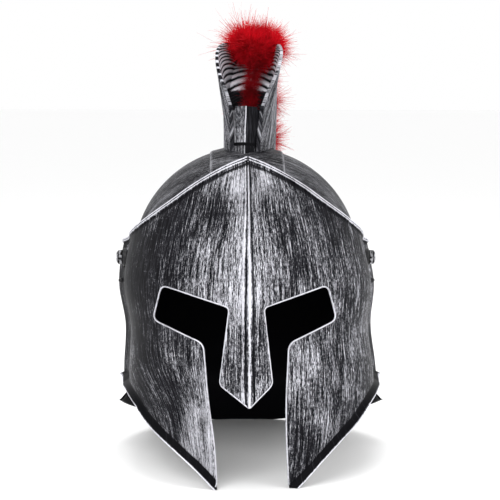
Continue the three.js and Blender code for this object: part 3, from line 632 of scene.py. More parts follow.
def makeVisor():
    form = visorForm
    t = np.linspace(-1, 1, form["columns"] + 1)
    rib = np.array([0.0013, 0.0027, 0.004, 0.0055, 0.007, 0.0085, 0.0105,
                    0.0125, 0.0145, 0.0165, 0.019, 0.022, 0.026])  # closer columns beside the ridge
    around = np.unique(np.concatenate([t[np.abs(t) > 0.029], rib, -rib, [0]]))
    fromTop = np.array([0, 0.3, 0.7, 1.1, 1.6, 2.0, 2.4, 2.8, 3.2, 3.7, 4.1, 4.6, 5.1, 6.0])
    fromLow = np.array([11, 9, 7.5, 6.6, 6.0, 5.4, 4.8, 4.0, 3.2, 2.4, 1.9, 1.5, 1.1, 0.7, 0.3, 0])
    high = [visorTop(around, d) for d in fromTop]
    low = [visorLow(around, d) for d in fromLow]
    middle = np.linspace(0, 1, form["rows"] + 2)[1:-1]
    z = np.stack(high + [high[-1] * (1 - m) + low[0] * m for m in middle] + low)
    rounds = np.broadcast_to(around, z.shape)
    below = (visorTop(around, 0) - z) / edgeSlant("top", np.abs(around))
    above = (z - visorLow(around, 0)) / edgeSlant("low", np.abs(around))
    narrow = 1 - 0.25 * np.abs(rounds)
    ridges = np.maximum(bump(below, 1.0 * narrow, 1.25), 0.9 * bump(below, 3.3 * narrow, 1.3))
    rim = form["rimWidth"]
    body = smooth(below, (rim + 0.3) * narrow, (rim - 0.7) * narrow)
    rise = form["rimRise"] * (0.62 * body + 0.38 * ridges)
    s = rounds * form["length"]
    ribs = np.maximum(bump(s, -2.6, 1.1) * 0.5, bump(s, 0, 1.1)) * form["ribRise"]
    ribs = ribs - 0.9 * bump(s, 0, 1.0) * smooth(below, rim, rim - 1)
    flare = flangeFlare(rounds, above)
    lip = form["lipRise"] * bump(above, 0.7, 0.9)
    normals = visorNormal(rounds, z)
    base = visorPoint(rounds, z) + normals * flare[..., None]
    outer = base + normals * (rise + ribs + lip)[..., None]
    inner = base - normals * stand["wall"]
    x = outer[..., 0]
    fan = np.clip((-x - 30) / 60, 0, 1) * smooth(z, -60, -130)  # strokes on the left cheek fan outwards
    flat = visorPoint(rounds, np.full_like(z, form["widestZ"]))[..., 0]  # wider strokes towards the temples
    brush = stacked(s * 0.6 + flat * 0.4 + fan * (z + 60) * 0.7, z) * metres
    tone = visorTone(x, z)
    # Along the ridge: silver on the two crests of the rib and dark lines beside them, partly dry-brush on
    # the raised rib and partly painted highlight and painted shade
    tone = tone + 0.4 * bump(s, 0, 0.7) + 0.25 * bump(s, -2.6, 0.9)
    tone = tone - 0.6 * bump(s, -1.3, 0.6) - 0.5 * bump(s, 1.7, 0.9)
    # Painted shade: a dark line under the top rim, and dark in the rim's groove and where the ridge meets
    # it; the rim's ridges are silver, partly dry-brush and partly painted highlight
    tone = tone - bump(below, (rim + 1.1) * narrow, 1.2)
    inRim = smooth(below, (rim + 0.1) * narrow, (rim - 0.3) * narrow)
    tone = tone * (1 - inRim) + (1.2 * ridges - 0.15 - 0.9 * bump(s, 0.2, 0.9)) * inRim
    # The flange's band is painted dark as painted shade, through its low tone and its shade value, and its
    # lip is silver
    band = smooth(above, 6.2, 5.2) * smooth(above, 1.1, 1.8)
    tone = tone * (1 - band) + form["flangeShadeTone"] * band + 0.7 * smooth(above, 1.5, 0.8)
    tones = stacked(np.clip(tone, 0, 1.3), form["flangeShade"] * band)
    plate = wall("visor_plate", outer, inner, brush, tones)

    outline = openingOutline()
    cutters = [prism("face_cut", outline, -220, -40)]
    face = form["padFace"]
    back = face - stand["wall"]
    turns = turnsRound(64)
    holes = [(form["padRadius"], face, face + form["recessDepth"]),
             (form["hubRadius"], face - form["hubDepth"], face)]
    for side in (-1, 1):
        for radius, near, far in holes:
            ends = [ringRound(radius, side * outwards, turns) for outwards in (near, far)]
            cutters.append(loft("pivot_cut", np.stack(ends)))
    combine(plate, cutters + [underFloor()], "DIFFERENCE")
    profile = [(3, face), (8.7, face), (9.2, face + 0.15), (10.8, face), (11, back), (3, back)]
    pads = [boredRing("pad", profile, side, [form["padTone"], 0.0], 64) for side in (-1, 1)]
    edge = np.concatenate([outline[-1:], outline])
    dense = []
    for start, end in zip(edge[:-1], edge[1:]):
        steps = max(1, int(np.linalg.norm(end - start) / 1.5))
        dense += [start + (end - start) * i / steps for i in range(1, steps + 1)]
    dense = np.array(dense)
    places = aroundAt(dense[:, 0], dense[:, 1])
    aboveFloor = toWorld(visorPoint(places, dense[:, 1]))[:, 2] / metres
    inside = (dense[:, 1] > visorLow(places, 0) + 0.3) & (aboveFloor > 1.2)
    start = np.argmax(~inside)
    order = (np.arange(len(dense)) + start) % len(dense)
    order = order[inside[order]]
    dense, places = dense[order], places[order]
    above = (dense[:, 1] - visorLow(places, 0)) / edgeSlant("low", np.abs(places))
    normals = visorNormal(places, dense[:, 1])
    flare = flangeFlare(places, above)
    centres = visorPoint(places, dense[:, 1]) + normals * (flare - form["beadSunk"])[:, None]
    beads = [bead("opening_bead", centres, normals, form["beadRadius"], form["beadTone"])]
    return join("visor_plate", [plate] + pads + beads)


visorPlate = makeVisor()
finishPiece(visorPlate, "visor", visorFinish, ["visor"])

# Skull
skullForm = {
    "halfWidth": 101, "halfDepth": 122, "height": 101, "centre": -2.7,
    "rearHem": -161, "tabHem": -131, "tabAngle": 78, "bandHalf": 33, "bandRise": 1.6,
    "sides": 180, "domeLevels": 60, "skirtLevels": 70, "tone": 0.33, "hemTone": 0.4, "bandTone": 0.37,
}
skirt = {
    "at": [0, 0.3, 0.58, 0.76, 0.9, 1],
    "halfWidth": [101, 99.5, 98, 100.5, 111, 122.5],
    "halfDepth": [122, 120, 113, 109, 116, 125],
}
prow = {
    "footHalf": 9.6, "topHalf": 12, "ridgeY": -54, "shoulderY": -46, "backY": -36, "footTop": 98, "top": 131,
}
prowGrowth = (prow["topHalf"] - prow["footHalf"]) / (prow["top"] - prow["footTop"])
crestTurn = {"yaw": math.radians(5), "lean": math.radians(2), "shift": -0.85}


def skullPoint(azimuth, down, offset):
    form = skullForm
    across, back = np.sin(azimuth), np.cos(azimuth)
    fall = np.minimum(1, down) * math.pi / 2
    ring = np.sin(fall)
    domeXyz = [(form["halfWidth"] + offset) * across * ring, (form["halfDepth"] + offset) * back * ring,
               form["centre"] + (form["height"] + offset) * np.cos(fall)]
    turn = np.minimum(1, np.abs(azimuth) / math.radians(form["tabAngle"]))
    hem = form["rearHem"] + (form["tabHem"] - form["rearHem"]) * turn ** 1.6
    low = np.clip(down - 1, 0, 1)
    z = form["centre"] + (hem - form["centre"]) * low
    half, depth = between(skirt, "halfWidth", low) + offset, between(skirt, "halfDepth", low) + offset
    skirtXyz = [half * across + sidewaysShift(half * across, z, half), depth * back, z]
    return np.stack([np.where(down <= 1, a, b) for a, b in zip(domeXyz, skirtXyz)], -1)


def turnCrest(points):
    yaw, lean = crestTurn["yaw"], crestTurn["lean"]
    x, y, z = points[..., 0], points[..., 1], points[..., 2]
    x, z = x * math.cos(lean) + z * math.sin(lean), z * math.cos(lean) - x * math.sin(lean)
    x, y = x * math.cos(yaw) + y * math.sin(yaw), y * math.cos(yaw) - x * math.sin(yaw)
    return stacked(x + crestTurn["shift"], y, z)


# The pointed post under and in front of the crest: its right facet is painted dark as painted shade and its
# left one grey, its ridge and left edge carry painted highlights, and painted shade runs along the seam
# above the foot
def prowPost(name, levels):
    half = prow["footHalf"] + prowGrowth * (levels - prow["footTop"])
    depth = prow["shoulderY"] - prow["ridgeY"]
    across = [0.3, 0.9, -1.4, -0.6, 0]
    # Tones round the post: low on the right facet as painted shade, high at the ridge and the left edge as
    # painted highlights
    tones = [0.75, 0.04, 0.06, 0.3, 0.35, 0.1, 0.1, 0.9, 0.9, 0.44, 0.48, 0.8]
    right = [np.where(a >= 0.3, a, half + a) if a else half for a in across]
    front = [prow["ridgeY"] + 0.15 + depth * np.maximum(0, r / half - 0.02) for r in right[:-1]]
    corners = [stacked(r, f, levels) for r, f in zip(right, front + [prow["shoulderY"]])]
    corners.append(stacked(half, prow["backY"], levels))
    corners += [corner * [-1, 1, 1] for corner in corners[::-1]]
    rings = turnCrest(np.stack(corners, 1))
    closed = closeRings(rings)
    values = np.broadcast_to(tones + tones[:1], closed.shape[:2])
    # Painted shade along the seam between the stem and its foot
    seam = smooth(np.abs(levels - prow["footTop"] - 0.15), 1.6, 0.8)[:, None] + 0 * values
    return loft(name, rings, closed[..., [0, 2]] * metres, stacked(values, seam))


def makeSkull():
    form = skullForm
    azimuth = np.linspace(-math.pi, math.pi, form["sides"] + 1)
    domeDown, skirtDown = np.linspace(0, 1, form["domeLevels"]), np.linspace(1, 2, form["skirtLevels"])[1:]
    down = np.concatenate([domeDown, skirtDown])
    azimuths, downs = np.broadcast_arrays(azimuth[None, :], down[:, None])
    outer, inner = skullPoint(azimuths, downs, 0.0), skullPoint(azimuths, downs, -stand["wall"])
    lift = 0.5 * bump(downs, 2.0, 0.012)
    outer = outer + unit(outer * [1, 1, 0]) * lift[..., None]

    # Strokes run from ear to ear round the crown and the back
    onDome = downs <= 1
    height = outer[..., 2] - form["centre"]
    roll = np.where(onDome, np.arctan2(height, outer[..., 1]) * form["halfDepth"], height)
    across = np.where(onDome, np.arcsin(np.clip(outer[..., 0] / 101.5, -1, 1)) * 0.1, azimuths * 0.11)
    brush = stacked(roll * metres, across)
    tone = form["tone"] + 0.1 * np.sin(azimuths * 2.3) ** 2 - 0.08 * bump(downs, 1.6, 0.35)
    tone = tone + form["hemTone"] * smooth(downs, 1.955, 1.985)
    shell = wall("skull_dome", outer, inner, brush, stacked(tone, 0), closedRound=True)

    # The open face, seen from the side: y, z and corner radius
    corners = [[-200, 24, 1], [-52, 24, 40], [-14, -26, 40], [0, -90, 30], [25, -128, 20], [27, -220, 1],
               [-200, -220, 1]]
    side = rounded(corners, 9)
    ends = [stacked(x, side[:, 0], side[:, 1]) for x in (-160, 160)]
    faceCut = loft("face_side_cut", np.stack(ends))
    combine(shell, [faceCut, underFloor()], "DIFFERENCE")

    turn = np.radians(np.linspace(28, 176, 120))
    shares = np.array([-1, -0.985, -0.965, -0.9, -0.6, -0.3, 0, 0.3, 0.6, 0.9, 0.965, 0.985, 1])
    turns, share = np.broadcast_arrays(turn[:, None], shares[None, :])
    x = share * form["bandHalf"]

    def band(offset, drop):
        ring = np.sqrt(1 - (x / (form["halfWidth"] + offset)) ** 2)
        depth, height = (form["halfDepth"] + offset - drop) * ring, (form["height"] + offset - drop) * ring
        return stacked(x, -np.cos(turns) * depth, form["centre"] + np.sin(turns) * height)

    edge = np.abs(share)
    drop = form["bandRise"] * 1.3 * smooth(edge, 0.955, 1.0)
    top = band(form["bandRise"], drop)
    brush = stacked(turns * 0.112, x * metres)
    tone = form["bandTone"] + 0.45 * bump(edge, 0.967, 0.02) - 0.4 * smooth(edge, 0.985, 1.0)
    strap = wall("crown_band", top, band(-1.1, 0), brush, stacked(tone, 0))

    foot = prowPost("crest_foot", np.append(np.linspace(70, 95, 4), [96, 96.7, 97.3, prow["footTop"]]))
    return join("skull_dome", [shell, strap, foot])


skullDome = makeSkull()
finishPiece(skullDome, "skull", skullFinish, ["skull_shell"])

# Crest
crestStations = {
    "at": [0, 1, 2, 3, 4, 5, 6, 7, 8, 9, 10],
    "rootY": [-46, -40, -30, -16, 2, 22, 44, 67, 86, 98, 103],
    "rootZ": [76, 79, 83, 87, 88, 85, 79, 66, 44, 18, -8],
    "rimY": [-49, -50, -48, -38, -18, 12, 50, 86, 115, 133, 141],
    "rimZ": [131, 146, 163, 179, 189, 192, 183, 160, 122, 76, 30],
    "floorY": [-40, -28, -16, -5, 8, 26, 54, 84, 108, 124, 131],
    "floorZ": [112, 124, 142, 160, 172, 176, 166, 145, 111, 70, 27],
    "root": [12.4, 15, 18, 20.5, 22.5, 23, 21, 18, 15, 13, 11],
    "flank": [13.4, 17, 20.5, 22, 23, 23, 21, 18.5, 16, 14, 12],
    "rim": [14.8, 20, 27, 29.5, 26.5, 21.5, 18.5, 17, 15.5, 14, 12],
    "floor": [9.5, 13, 18, 17, 15.5, 14, 12.5, 11.5, 10, 9, 8],
}
crestForm = {
    "wall": 2.4, "gap": 0.3, "start": 0.1, "end": 9.7,
    "strands": 78, "strandRise": 0.5, "strandPitch": 0.004, "frontLean": 16, "rearLean": 3, "rimBand": 3.2,
    "firstRib": -1.3, "lastRib": 4.4, "ribs": 15, "ribRise": 1.5, "ribShear": 3.2,
    "strandTone": 0.8, "grooveTone": 0.06, "rimTone": 0.56, "frontTone": 0.3, "troughBlackAndShadeTone": 0.04,
}


# Where on the crest each strand starts; those before 0 start on its front edge
strandStarts = {"at": [0, 8, 14, 20, 28, 78], "start": [-16, -8, -3, 0, 1.3, 10]}


def crestRow(place):
    lines = []
    for line in ("root", "rim", "floor"):
        y, z = between(crestStations, line + "Y", place), between(crestStations, line + "Z", place)
        lines.append(stacked(0.0, y, z))
    halves = [between(crestStations, column, place) for column in ("root", "flank", "rim", "floor")]
    return lines + halves


# One side panel of the crest, from the root (0) to the rim (1); strands lean back as they rise
def crestPanel(place, share):
    root, rim, _, rootHalf, flank, rimHalf, _ = crestRow(place)
    low, high = np.clip(share * 2, 0, 1), np.clip(share * 2 - 1, 0, 1)
    half = np.where(share < 0.5, rootHalf + (flank - rootHalf) * low, flank + (rimHalf - flank) * high)
    points = root + (rim - root) * share[..., None]
    points[..., 0] = half
    return points


def crestBody():
    form = crestForm
    steps, levels = form["strands"] * 6, 34
    strandAt = np.linspace(0, form["strands"], steps + 1)
    start = between(strandStarts, "start", strandAt)
    share = np.concatenate([np.linspace(0, 0.9, levels), [0.925, 0.95, 0.965, 0.98, 0.99, 1.0]])
    starts, shares = np.broadcast_arrays(start[:, None], share[None, :])
    towardsFront = np.clip((3 - starts) / (3 + form["frontLean"]), 0, 1)
    lean = form["rearLean"] + (form["frontLean"] - form["rearLean"]) * towardsFront
    place = np.clip(starts + shares * lean, 0, 10)
    height = np.linalg.norm(crestRow(place)[1] - crestRow(place)[0], axis=-1)
    fromRim = (1 - shares) * height
    panelOnly = smooth(fromRim, form["rimBand"] - 0.4, form["rimBand"] + 1.2)
    strand = np.sin(strandAt * 2 * math.pi)[:, None] * 0.5 + 0.5 + 0 * place
    ends = smooth(place, 0.0, 0.06) * smooth(place, 10.0, 9.9)
    rise = form["strandRise"] * (strand - 0.7) * panelOnly * ends + 0.35 * bump(fromRim, 1.6, 1.6) * ends
    right = crestPanel(place, shares)
    right[..., 0] += rise
    strandTone = form["grooveTone"] * strand + form["strandTone"] * smooth(strand, 0.84, 1.0)
    tone = strandTone * panelOnly + form["rimTone"] * (1 - panelOnly)
    tone = tone - 0.4 * bump(fromRim, form["rimBand"] + 0.6, 0.9)
    front = smooth(place, 0.1, 0.04)
    tone = tone * (1 - front) + form["frontTone"] * front
    striped = (1 - panelOnly) * smooth(place, 1.1, 1.4) * smooth(place, 4.9, 4.5)
    leftTone = tone * (1 - striped) + (0.3 + 0.5 * np.sin(place * 2 * math.pi * 3)) * striped
    brush = stacked(strandAt[:, None] * form["strandPitch"], shares * height * metres)
    brushes = np.concatenate([brush, brush[:, ::-1], brush[:, :1]], 1)
    tones = np.concatenate([tone, leftTone[:, ::-1], tone[:, :1]], 1)
    return loft("crest_panels", turnCrest(mirrored(right)), brushes, stacked(tones, 0))


# The trough: its ribs run round the scoop, higher in the middle of the floor than at the rims
def crestTrough():
    form = crestForm
    floorSteps = np.array([0.02, 0.15, 0.3, 0.45, 0.6, 0.72, 0.84, 0.93, 1.0])
    sideSteps = np.linspace(0.08, 1, 14)
    across = np.concatenate([floorSteps * 0.4, 0.4 + sideSteps * 0.6])
    shear = form["ribShear"] * (1 - across ** 2)
    fine = np.linspace(form["start"] - form["ribShear"], form["lastRib"], 400)
    starts = np.concatenate([fine, np.linspace(form["lastRib"], form["end"], 50)[1:]])
    place = np.clip(starts[:, None] + shear, form["start"], form["end"])
    starts = np.broadcast_to(starts[:, None], place.shape)
    along = (starts - form["firstRib"]) / (form["lastRib"] - form["firstRib"])
    phase = form["ribs"] * (0.7 * along + 0.3 * along * np.abs(along))
    first, last = form["firstRib"], form["lastRib"]
    ribbing = smooth(starts, first - 0.15, first) * smooth(starts, last, last - 0.4)
    rib = (0.5 - 0.5 * np.cos(phase * 2 * math.pi)) ** 0.6
    root, rim, floor, _, _, rimHalf, floorHalf = crestRow(place)
    outwards = unit((rim - root) * [0, 1, 1])
    onFloor = np.arange(len(across)) < len(floorSteps)
    share = np.concatenate([floorSteps, sideSteps])
    sag = 2 * (1 - share ** 2) * onFloor
    up = np.where(onFloor, 0, share)
    points = floor + (rim - floor) * up[..., None] - outwards * sag[None, :, None]
    high = rimHalf - form["wall"]
    mid = (floorHalf + high) / 2
    lower = floorHalf + (mid - floorHalf) * up / 0.45
    upper = mid + (high - mid) * (up - 0.45) / 0.55
    side = np.where(up < 0.45, lower, upper)
    points[..., 0] = np.where(onFloor, floorHalf * share, side)
    rise = form["ribRise"] * (rib - 0.5) * ribbing * smooth(up, 1.0, 0.9)
    lean = np.where(onFloor, 1.0, 0.35)
    points = points + outwards * (rise * lean)[..., None]
    points[..., 0] -= rise * np.where(onFloor, 0, 0.6)
    # Painted light and shade: the ribs' silver shows only from z 146 to 151 upwards and fades by a third
    # above z 172, painted shade deep in the trough and under its top; elsewhere the trough keeps its black
    # tone, which is also painted shade
    bright = smooth(points[..., 2], 146, 151) * (1 - 0.35 * smooth(points[..., 2], 172, 182))
    tone = form["troughBlackAndShadeTone"] + (1.5 * rib - 0.25) * ribbing * bright
    brim = rim[:, -1:] + outwards[:, -1:] * 8
    brim[..., 0] = rimHalf[:, -1:] - form["wall"] + 0.4
    half = np.concatenate([points, brim], 1)
    tone = np.concatenate([tone, tone[:, -1:]], 1)
    painted = stacked(starts[:, :1] * 0.02, half[..., 0] * metres, tone, 0)
    painted = np.concatenate([painted, painted[:, ::-1], painted[:, :1]], 1)
    return loft("trough_cut", turnCrest(mirrored(half)), painted[..., :2], painted[..., 2:])


def boxRing(half, front, back, z):
    return [[-half, front, z], [half, front, z], [half, back, z], [-half, back, z]]


def crestHollow():
    place = np.linspace(0.5, 8.65, 60)
    root, rim, floor, rootHalf, flank, _, floorHalf = crestRow(place)
    inward = unit((rim - root) * [0, 1, 1])
    low = root - inward * 12
    high = floor - inward * (crestForm["wall"] + 2.8)
    reach = np.clip((high[:, 2] - root[:, 2]) / (rim[:, 2] - root[:, 2]), 0, 0.5)
    middle = root + (high - root) * 0.6
    low[:, 0] = rootHalf - crestForm["wall"] - 0.5
    middle[:, 0] = rootHalf + (flank - rootHalf) * 2 * reach - crestForm["wall"] - 0.5
    high[:, 0] = np.minimum(floorHalf, middle[:, 0]) * 0.9
    return loft("crest_hollow", turnCrest(mirrored(np.stack([low, middle, high], 1))))


def clearDome():
    grow = skullForm["bandRise"] + 0.5
    azimuth, fall = np.linspace(0, 2 * math.pi, 97), np.linspace(0, math.pi, 61)
    a, f = np.broadcast_arrays(azimuth[None, :], fall[:, None])
    x = (skullForm["halfWidth"] + grow) * np.cos(a) * np.sin(f)
    y = (skullForm["halfDepth"] + grow) * np.sin(a) * np.sin(f)
    z = skullForm["centre"] + (skullForm["height"] + grow) * np.cos(f)
    flat = stacked(x, y, z).reshape(-1, 3)
    tone = np.zeros((len(flat), 2)) + unpainted
    return meshFrom("dome_clearance", flat, quads(*a.shape), flat[:, :2] * metres, tone)


def makeCrest():
    inFront = -75  # a y in front of the whole crest
    body = crestBody()
    combine(body, [crestHollow()], "DIFFERENCE")
    notch = []
    for z in (60, prow["top"]):
        half = prow["footHalf"] + prowGrowth * (z - prow["footTop"]) - 0.1
        notch.append(boxRing(half, inFront, prow["shoulderY"] + 0.6, z))
    combine(body, [loft("prow_notch", turnCrest(np.array(notch)))], "DIFFERENCE")
    levels = np.append([78, 98, 99, 99.8, 101], np.linspace(105, prow["top"], 6))
    combine(body, [prowPost("crest_stem", levels)], "UNION")
    gap = crestForm["gap"]
    seam, back, clear = prow["footTop"] + gap, prow["backY"] + gap, prow["footHalf"] + gap
    under = [boxRing(clear, back - 40, back, z) for z in (seam - 60, seam)]
    _, rims, _, _, _, rimHalves, _ = crestRow(np.array([0.0, 1.0, 2.0]))
    mouth = [boxRing(h - crestForm["wall"], inFront, r[1] + 8, r[2]) for r, h in zip(rims, rimHalves)]
    cuts = [crestTrough(), loft("scoop_mouth", turnCrest(np.array(mouth)))]
    cuts += [loft("below_seam", turnCrest(np.array(under))), clearDome()]
    return combine(body, cuts, "DIFFERENCE")


crest = makeCrest()
crest.name = "crest_trough"
finishPiece(crest, "skull", crestFinish, ["crest_shell"], 50)

# Screws, washers, nuts and pegs at the temples; distances outwards are from the middle of the helmet
hardware = {
    "screw": {"shank": 2.5, "across": 14.6, "thick": 4.2, "cap": 5.4, "length": 18},
    "washer": {"radius": 8.3, "thick": 3.8, "bore": 2.8, "gap": 0.15},
    "nut": {"across": 11, "thick": 3.2, "outer": 91.7},
    "peg": {"y": 9, "z": -21, "head": 2.2, "side": 109, "sunk": 0.5, "gap": 0.3},
}


def makeScrew(label, side):
    screw, washer = hardware["screw"], hardware["washer"]
    seat = visorForm["padFace"] + washer["thick"] + 0.3
    face = seat + screw["thick"]
    wide, cap = screw["across"], screw["cap"]
    # Low third values darken the head at its seat and its chamfers and the cap at its foot: painted shade
    head = turned("hex", [
        (0.01, seat - 0.4, 0), ([wide * 0.9], seat, 0), ([wide], seat + 0.6, 0.35),
        ([wide], seat + 1.4, 0.6), ([wide], face - 1.1, 0.65), ([wide * 0.93], face - 0.3, 0.1),
        (wide * 0.42, face, 0.4), (wide * 0.37, face, 0)], side, sides=60)
    dome = turned("cap", [
        (0.01, face - 0.6, 0), (cap, face - 0.5, 0), (cap, face + 0.2, 0.1), (cap * 0.97, face + 0.6, 0.9),
        (cap * 0.86, face + 1.2), (cap * 0.65, face + 1.65), (cap * 0.3, face + 1.95),
        (0.01, face + 2)], side)
    shankEnds = [(screw["shank"], seat - screw["length"]), (screw["shank"], seat - 0.2)]
    shank = turned("shank", shankEnds, side, sides=24)
    whole = join("pivot_screw_cap_" + label, [head, dome, shank])
    finishPiece(whole, "skull", chromeFinish, ["pivot_screw_" + label], 25)


def makeWasher(label, side):
    washer = hardware["washer"]
    low = visorForm["padFace"] + washer["gap"]
    high, radius, bore = low + washer["thick"], washer["radius"], washer["bore"]
    profile = [(bore, low), (radius - 0.4, low), (radius, low + 0.4), (radius, high - 0.9),
               (radius - 0.35, high - 0.3), (radius - 1.0, high), (bore, high)]
    ring = boredRing("pivot_ring_" + label, profile, side, 0.0)
    finishPiece(ring, "skull", blackFinish, ["pivot_washer_" + label], 40)


def makeNut(label, side):
    nut, bore = hardware["nut"], hardware["washer"]["bore"]
    wide, worn = [nut["across"]], [nut["across"] * 0.93]
    high, low = nut["outer"], nut["outer"] - nut["thick"]
    profile = [(bore, high), (worn, high), (wide, high - 0.5), (wide, low + 0.5), (worn, low), (bore, low)]
    block = boredRing("pivot_hex_" + label, profile, side, 0.9)
    finishPiece(block, "skull", chromeFinish, ["pivot_nut_" + label], 25)


# The peg sits on the mask's rear flare, which it follows outwards
def makePeg(label, side):
    peg, flareFrom = hardware["peg"], visorSections["straight"][3]
    beyond = (peg["y"] - flareFrom) / (visorForm["rearY"] - flareFrom)
    surface = peg["side"] + visorForm["rearFlare"] * beyond ** 2 - side * stand["sideways"] * peg["z"]
    base, wide = surface - peg["sunk"] + peg["gap"], peg["head"]
    profile = [(0.01, base - 4), (0.9, base - 4), (0.9, base), (wide, base), (wide, base + 1),
               (wide * 0.93, base + 1.6), (wide * 0.7, base + 2.4), (wide * 0.35, base + 2.9),
               (0.01, base + 3)]
    head = turned("cheek_stud_" + label, profile, side, (peg["y"], peg["z"]), 32)
    finishPiece(head, "visor", blackFinish, ["cheek_peg_" + label], 40)


for label, side in (("left", -1), ("right", 1)):
    makeScrew(label, side)
    makeWasher(label, side)
    makeNut(label, side)
    makePeg(label, side)

# Plume: a core along the trough, covered with tufts of soft barbs
plumeForm = {
    "station": [0.6, 1.2, 2.0, 2.7, 3.3, 3.8, 4.4, 5.2, 6.5, 8.2, 9.4],
    "lift": [6, 6, 8, 9, 10, 14, 14, 13, 14, 14, 13],
    "aside": [2, 2, 2, 2.5, 3, 2.5, 2.5, 2, -1, 2, -3],
    "radius": [1.8, 2.2, 2.4, 2.6, 3.0, 5, 6.5, 7, 7.5, 6.5, 5],
    "widen": [1.4, 1.4, 1.4, 1.5, 1.7, 1.8, 1.8, 1.6, 1.3, 1.3, 1.2],
    "tuft": [0.42, 0.44, 0.46, 0.5, 0.62, 1.05, 1.1, 0.95, 0.75, 1.1, 0.8],
    "lobes": 0.65, "seed": 11,
}
tuftForms = {
    "soft": {"barbs": 26, "length": 21, "width": 0.2, "spread": 0.75, "segments": 3, "bend": 0.5},
    "long": {"barbs": 12, "length": 34, "width": 0.16, "spread": 0.16, "segments": 6, "bend": 0.35},
}
# Parts of the plume: where each runs along the line, how many tufts of which form it has, and their size
plumePieces = {
    "name": ["plume_throat", "plume_strands", "plume_front", "plume_wisps", "plume_top", "plume_back"],
    "start": [0, 0.2, 3.9, 4.6, 6.5, 8.1],
    "end": [4.0, 1.4, 6.6, 6.4, 8.2, 10],
    "tuft": ["soft", "long", "soft", "long", "soft", "soft"],
    "tufts": [420, 16, 1500, 12, 1200, 1100],
    "smallest": [0.6, 0.7, 0.6, 0.6, 0.6, 0.6],
    "largest": [1.2, 1.3, 1.15, 1.1, 1.2, 1.2],
}


def featherFinish(name, deep, bright):
    made = Finish(name, 0.75, sheen=0.1)
    place = made.node("TexCoord", {}, {}, 3)
    clumps = made.noise(place, 120, 3, 0.6)
    fine = made.noise(place, 900, 2, 0.6)
    depth = made.node("SeparateXYZ", {}, {"Vector": made.node("UVMap", {"uv_map": "barb"})})
    colour = made.mix((depth * 0.6 + clumps * 1.4 + fine * 0.25 - 0.6).clamped(), deep, bright)
    made.feed("Base Color", colour)
    made.feed("Roughness", 0.65 + fine * 0.25)
    made.shader.inputs["Sheen Tint"].default_value = (1.0, 0.2, 0.2, 1)
    made.shader.inputs["Specular IOR Level"].default_value = 0.15
    through = made.node("BsdfTranslucent", {}, {"Color": made.mix(clumps, deep, bright)})
    both = made.node("MixShader", {}, {0: 0.4, 1: Value(made.tree, made.shader.outputs[0]), 2: through})
    made.tree.links.new(both.socket, made.tree.nodes["Material Output"].inputs["Surface"])
    return made.material


feather = featherFinish("redFeather", (0.2, 0.001, 0.004), (0.78, 0.004, 0.016))
# A copy of the feather with painted shade, for the plume deep in the trough
shadedFeather = featherFinish("shadedRedFeather", (0.08, 0.001, 0.003), (0.42, 0.003, 0.010))


def plumeLine(order):
    table = {"at": list(range(len(plumeForm["station"]))), **plumeForm}
    place = between(table, "station", order)
    root, rim, floor = crestRow(place)[:3]
    outwards = unit((rim - root) * [0, 1, 1])
    centres = floor * [0, 1, 1] + outwards * between(table, "lift", order)[:, None]
    centres[:, 0] = between(table, "aside", order)
    sizes = [between(table, column, order) for column in ("radius", "widen", "tuft")]
    return [centres, outwards] + sizes


def plumeCore(name, start, end):
    order = np.linspace(start, end, int((end - start) * 14) + 2)
    centres, outwards, radius, widen, size = plumeLine(order)
    rings = []
    for turn in turnsRound(20):
        flat = np.where(np.sin(turn) < 0, 0.55, 1.0)
        across = math.cos(turn) * widen[:, None] * [1, 0, 0]
        rings.append(centres + (across + outwards * math.sin(turn) * flat) * radius[:, None])
    rings = np.stack(rings, 1)
    core = loft(name, turnCrest(rings))
    attribute = core.data.attributes.new("size", "FLOAT", "POINT")
    points = toHelmet(np.array([v.co for v in core.data.vertices]))
    line = turnCrest(centres)
    nearest = np.linalg.norm(points[:, None] - line[None], axis=-1).argmin(1)
    above = unit(turnCrest(centres + outwards) - line)[nearest]
    away = unit(points - line[nearest])
    upward = np.einsum("ij,ij->i", away, above)
    aside = np.linalg.norm(away - upward[:, None] * above, axis=-1)

    # Fuller to both sides than in the middle, and in clumps
    lobes = 1 - plumeForm["lobes"] * np.exp(-(aside / 0.4) ** 2) * (upward > 0)
    waves = np.sin(points * [0.31, 0.27, 0.33] + [1.0, 0.4, 2.2])
    clumps = 1 + 0.3 * waves[:, 0] * waves[:, 1] + 0.2 * waves[:, 2] * waves[:, 0]
    scale = size[nearest] * lobes * clumps * smooth(upward, -0.35, 0.15)
    attribute.data.foreach_set("value", scale.astype(np.float32))
    return core


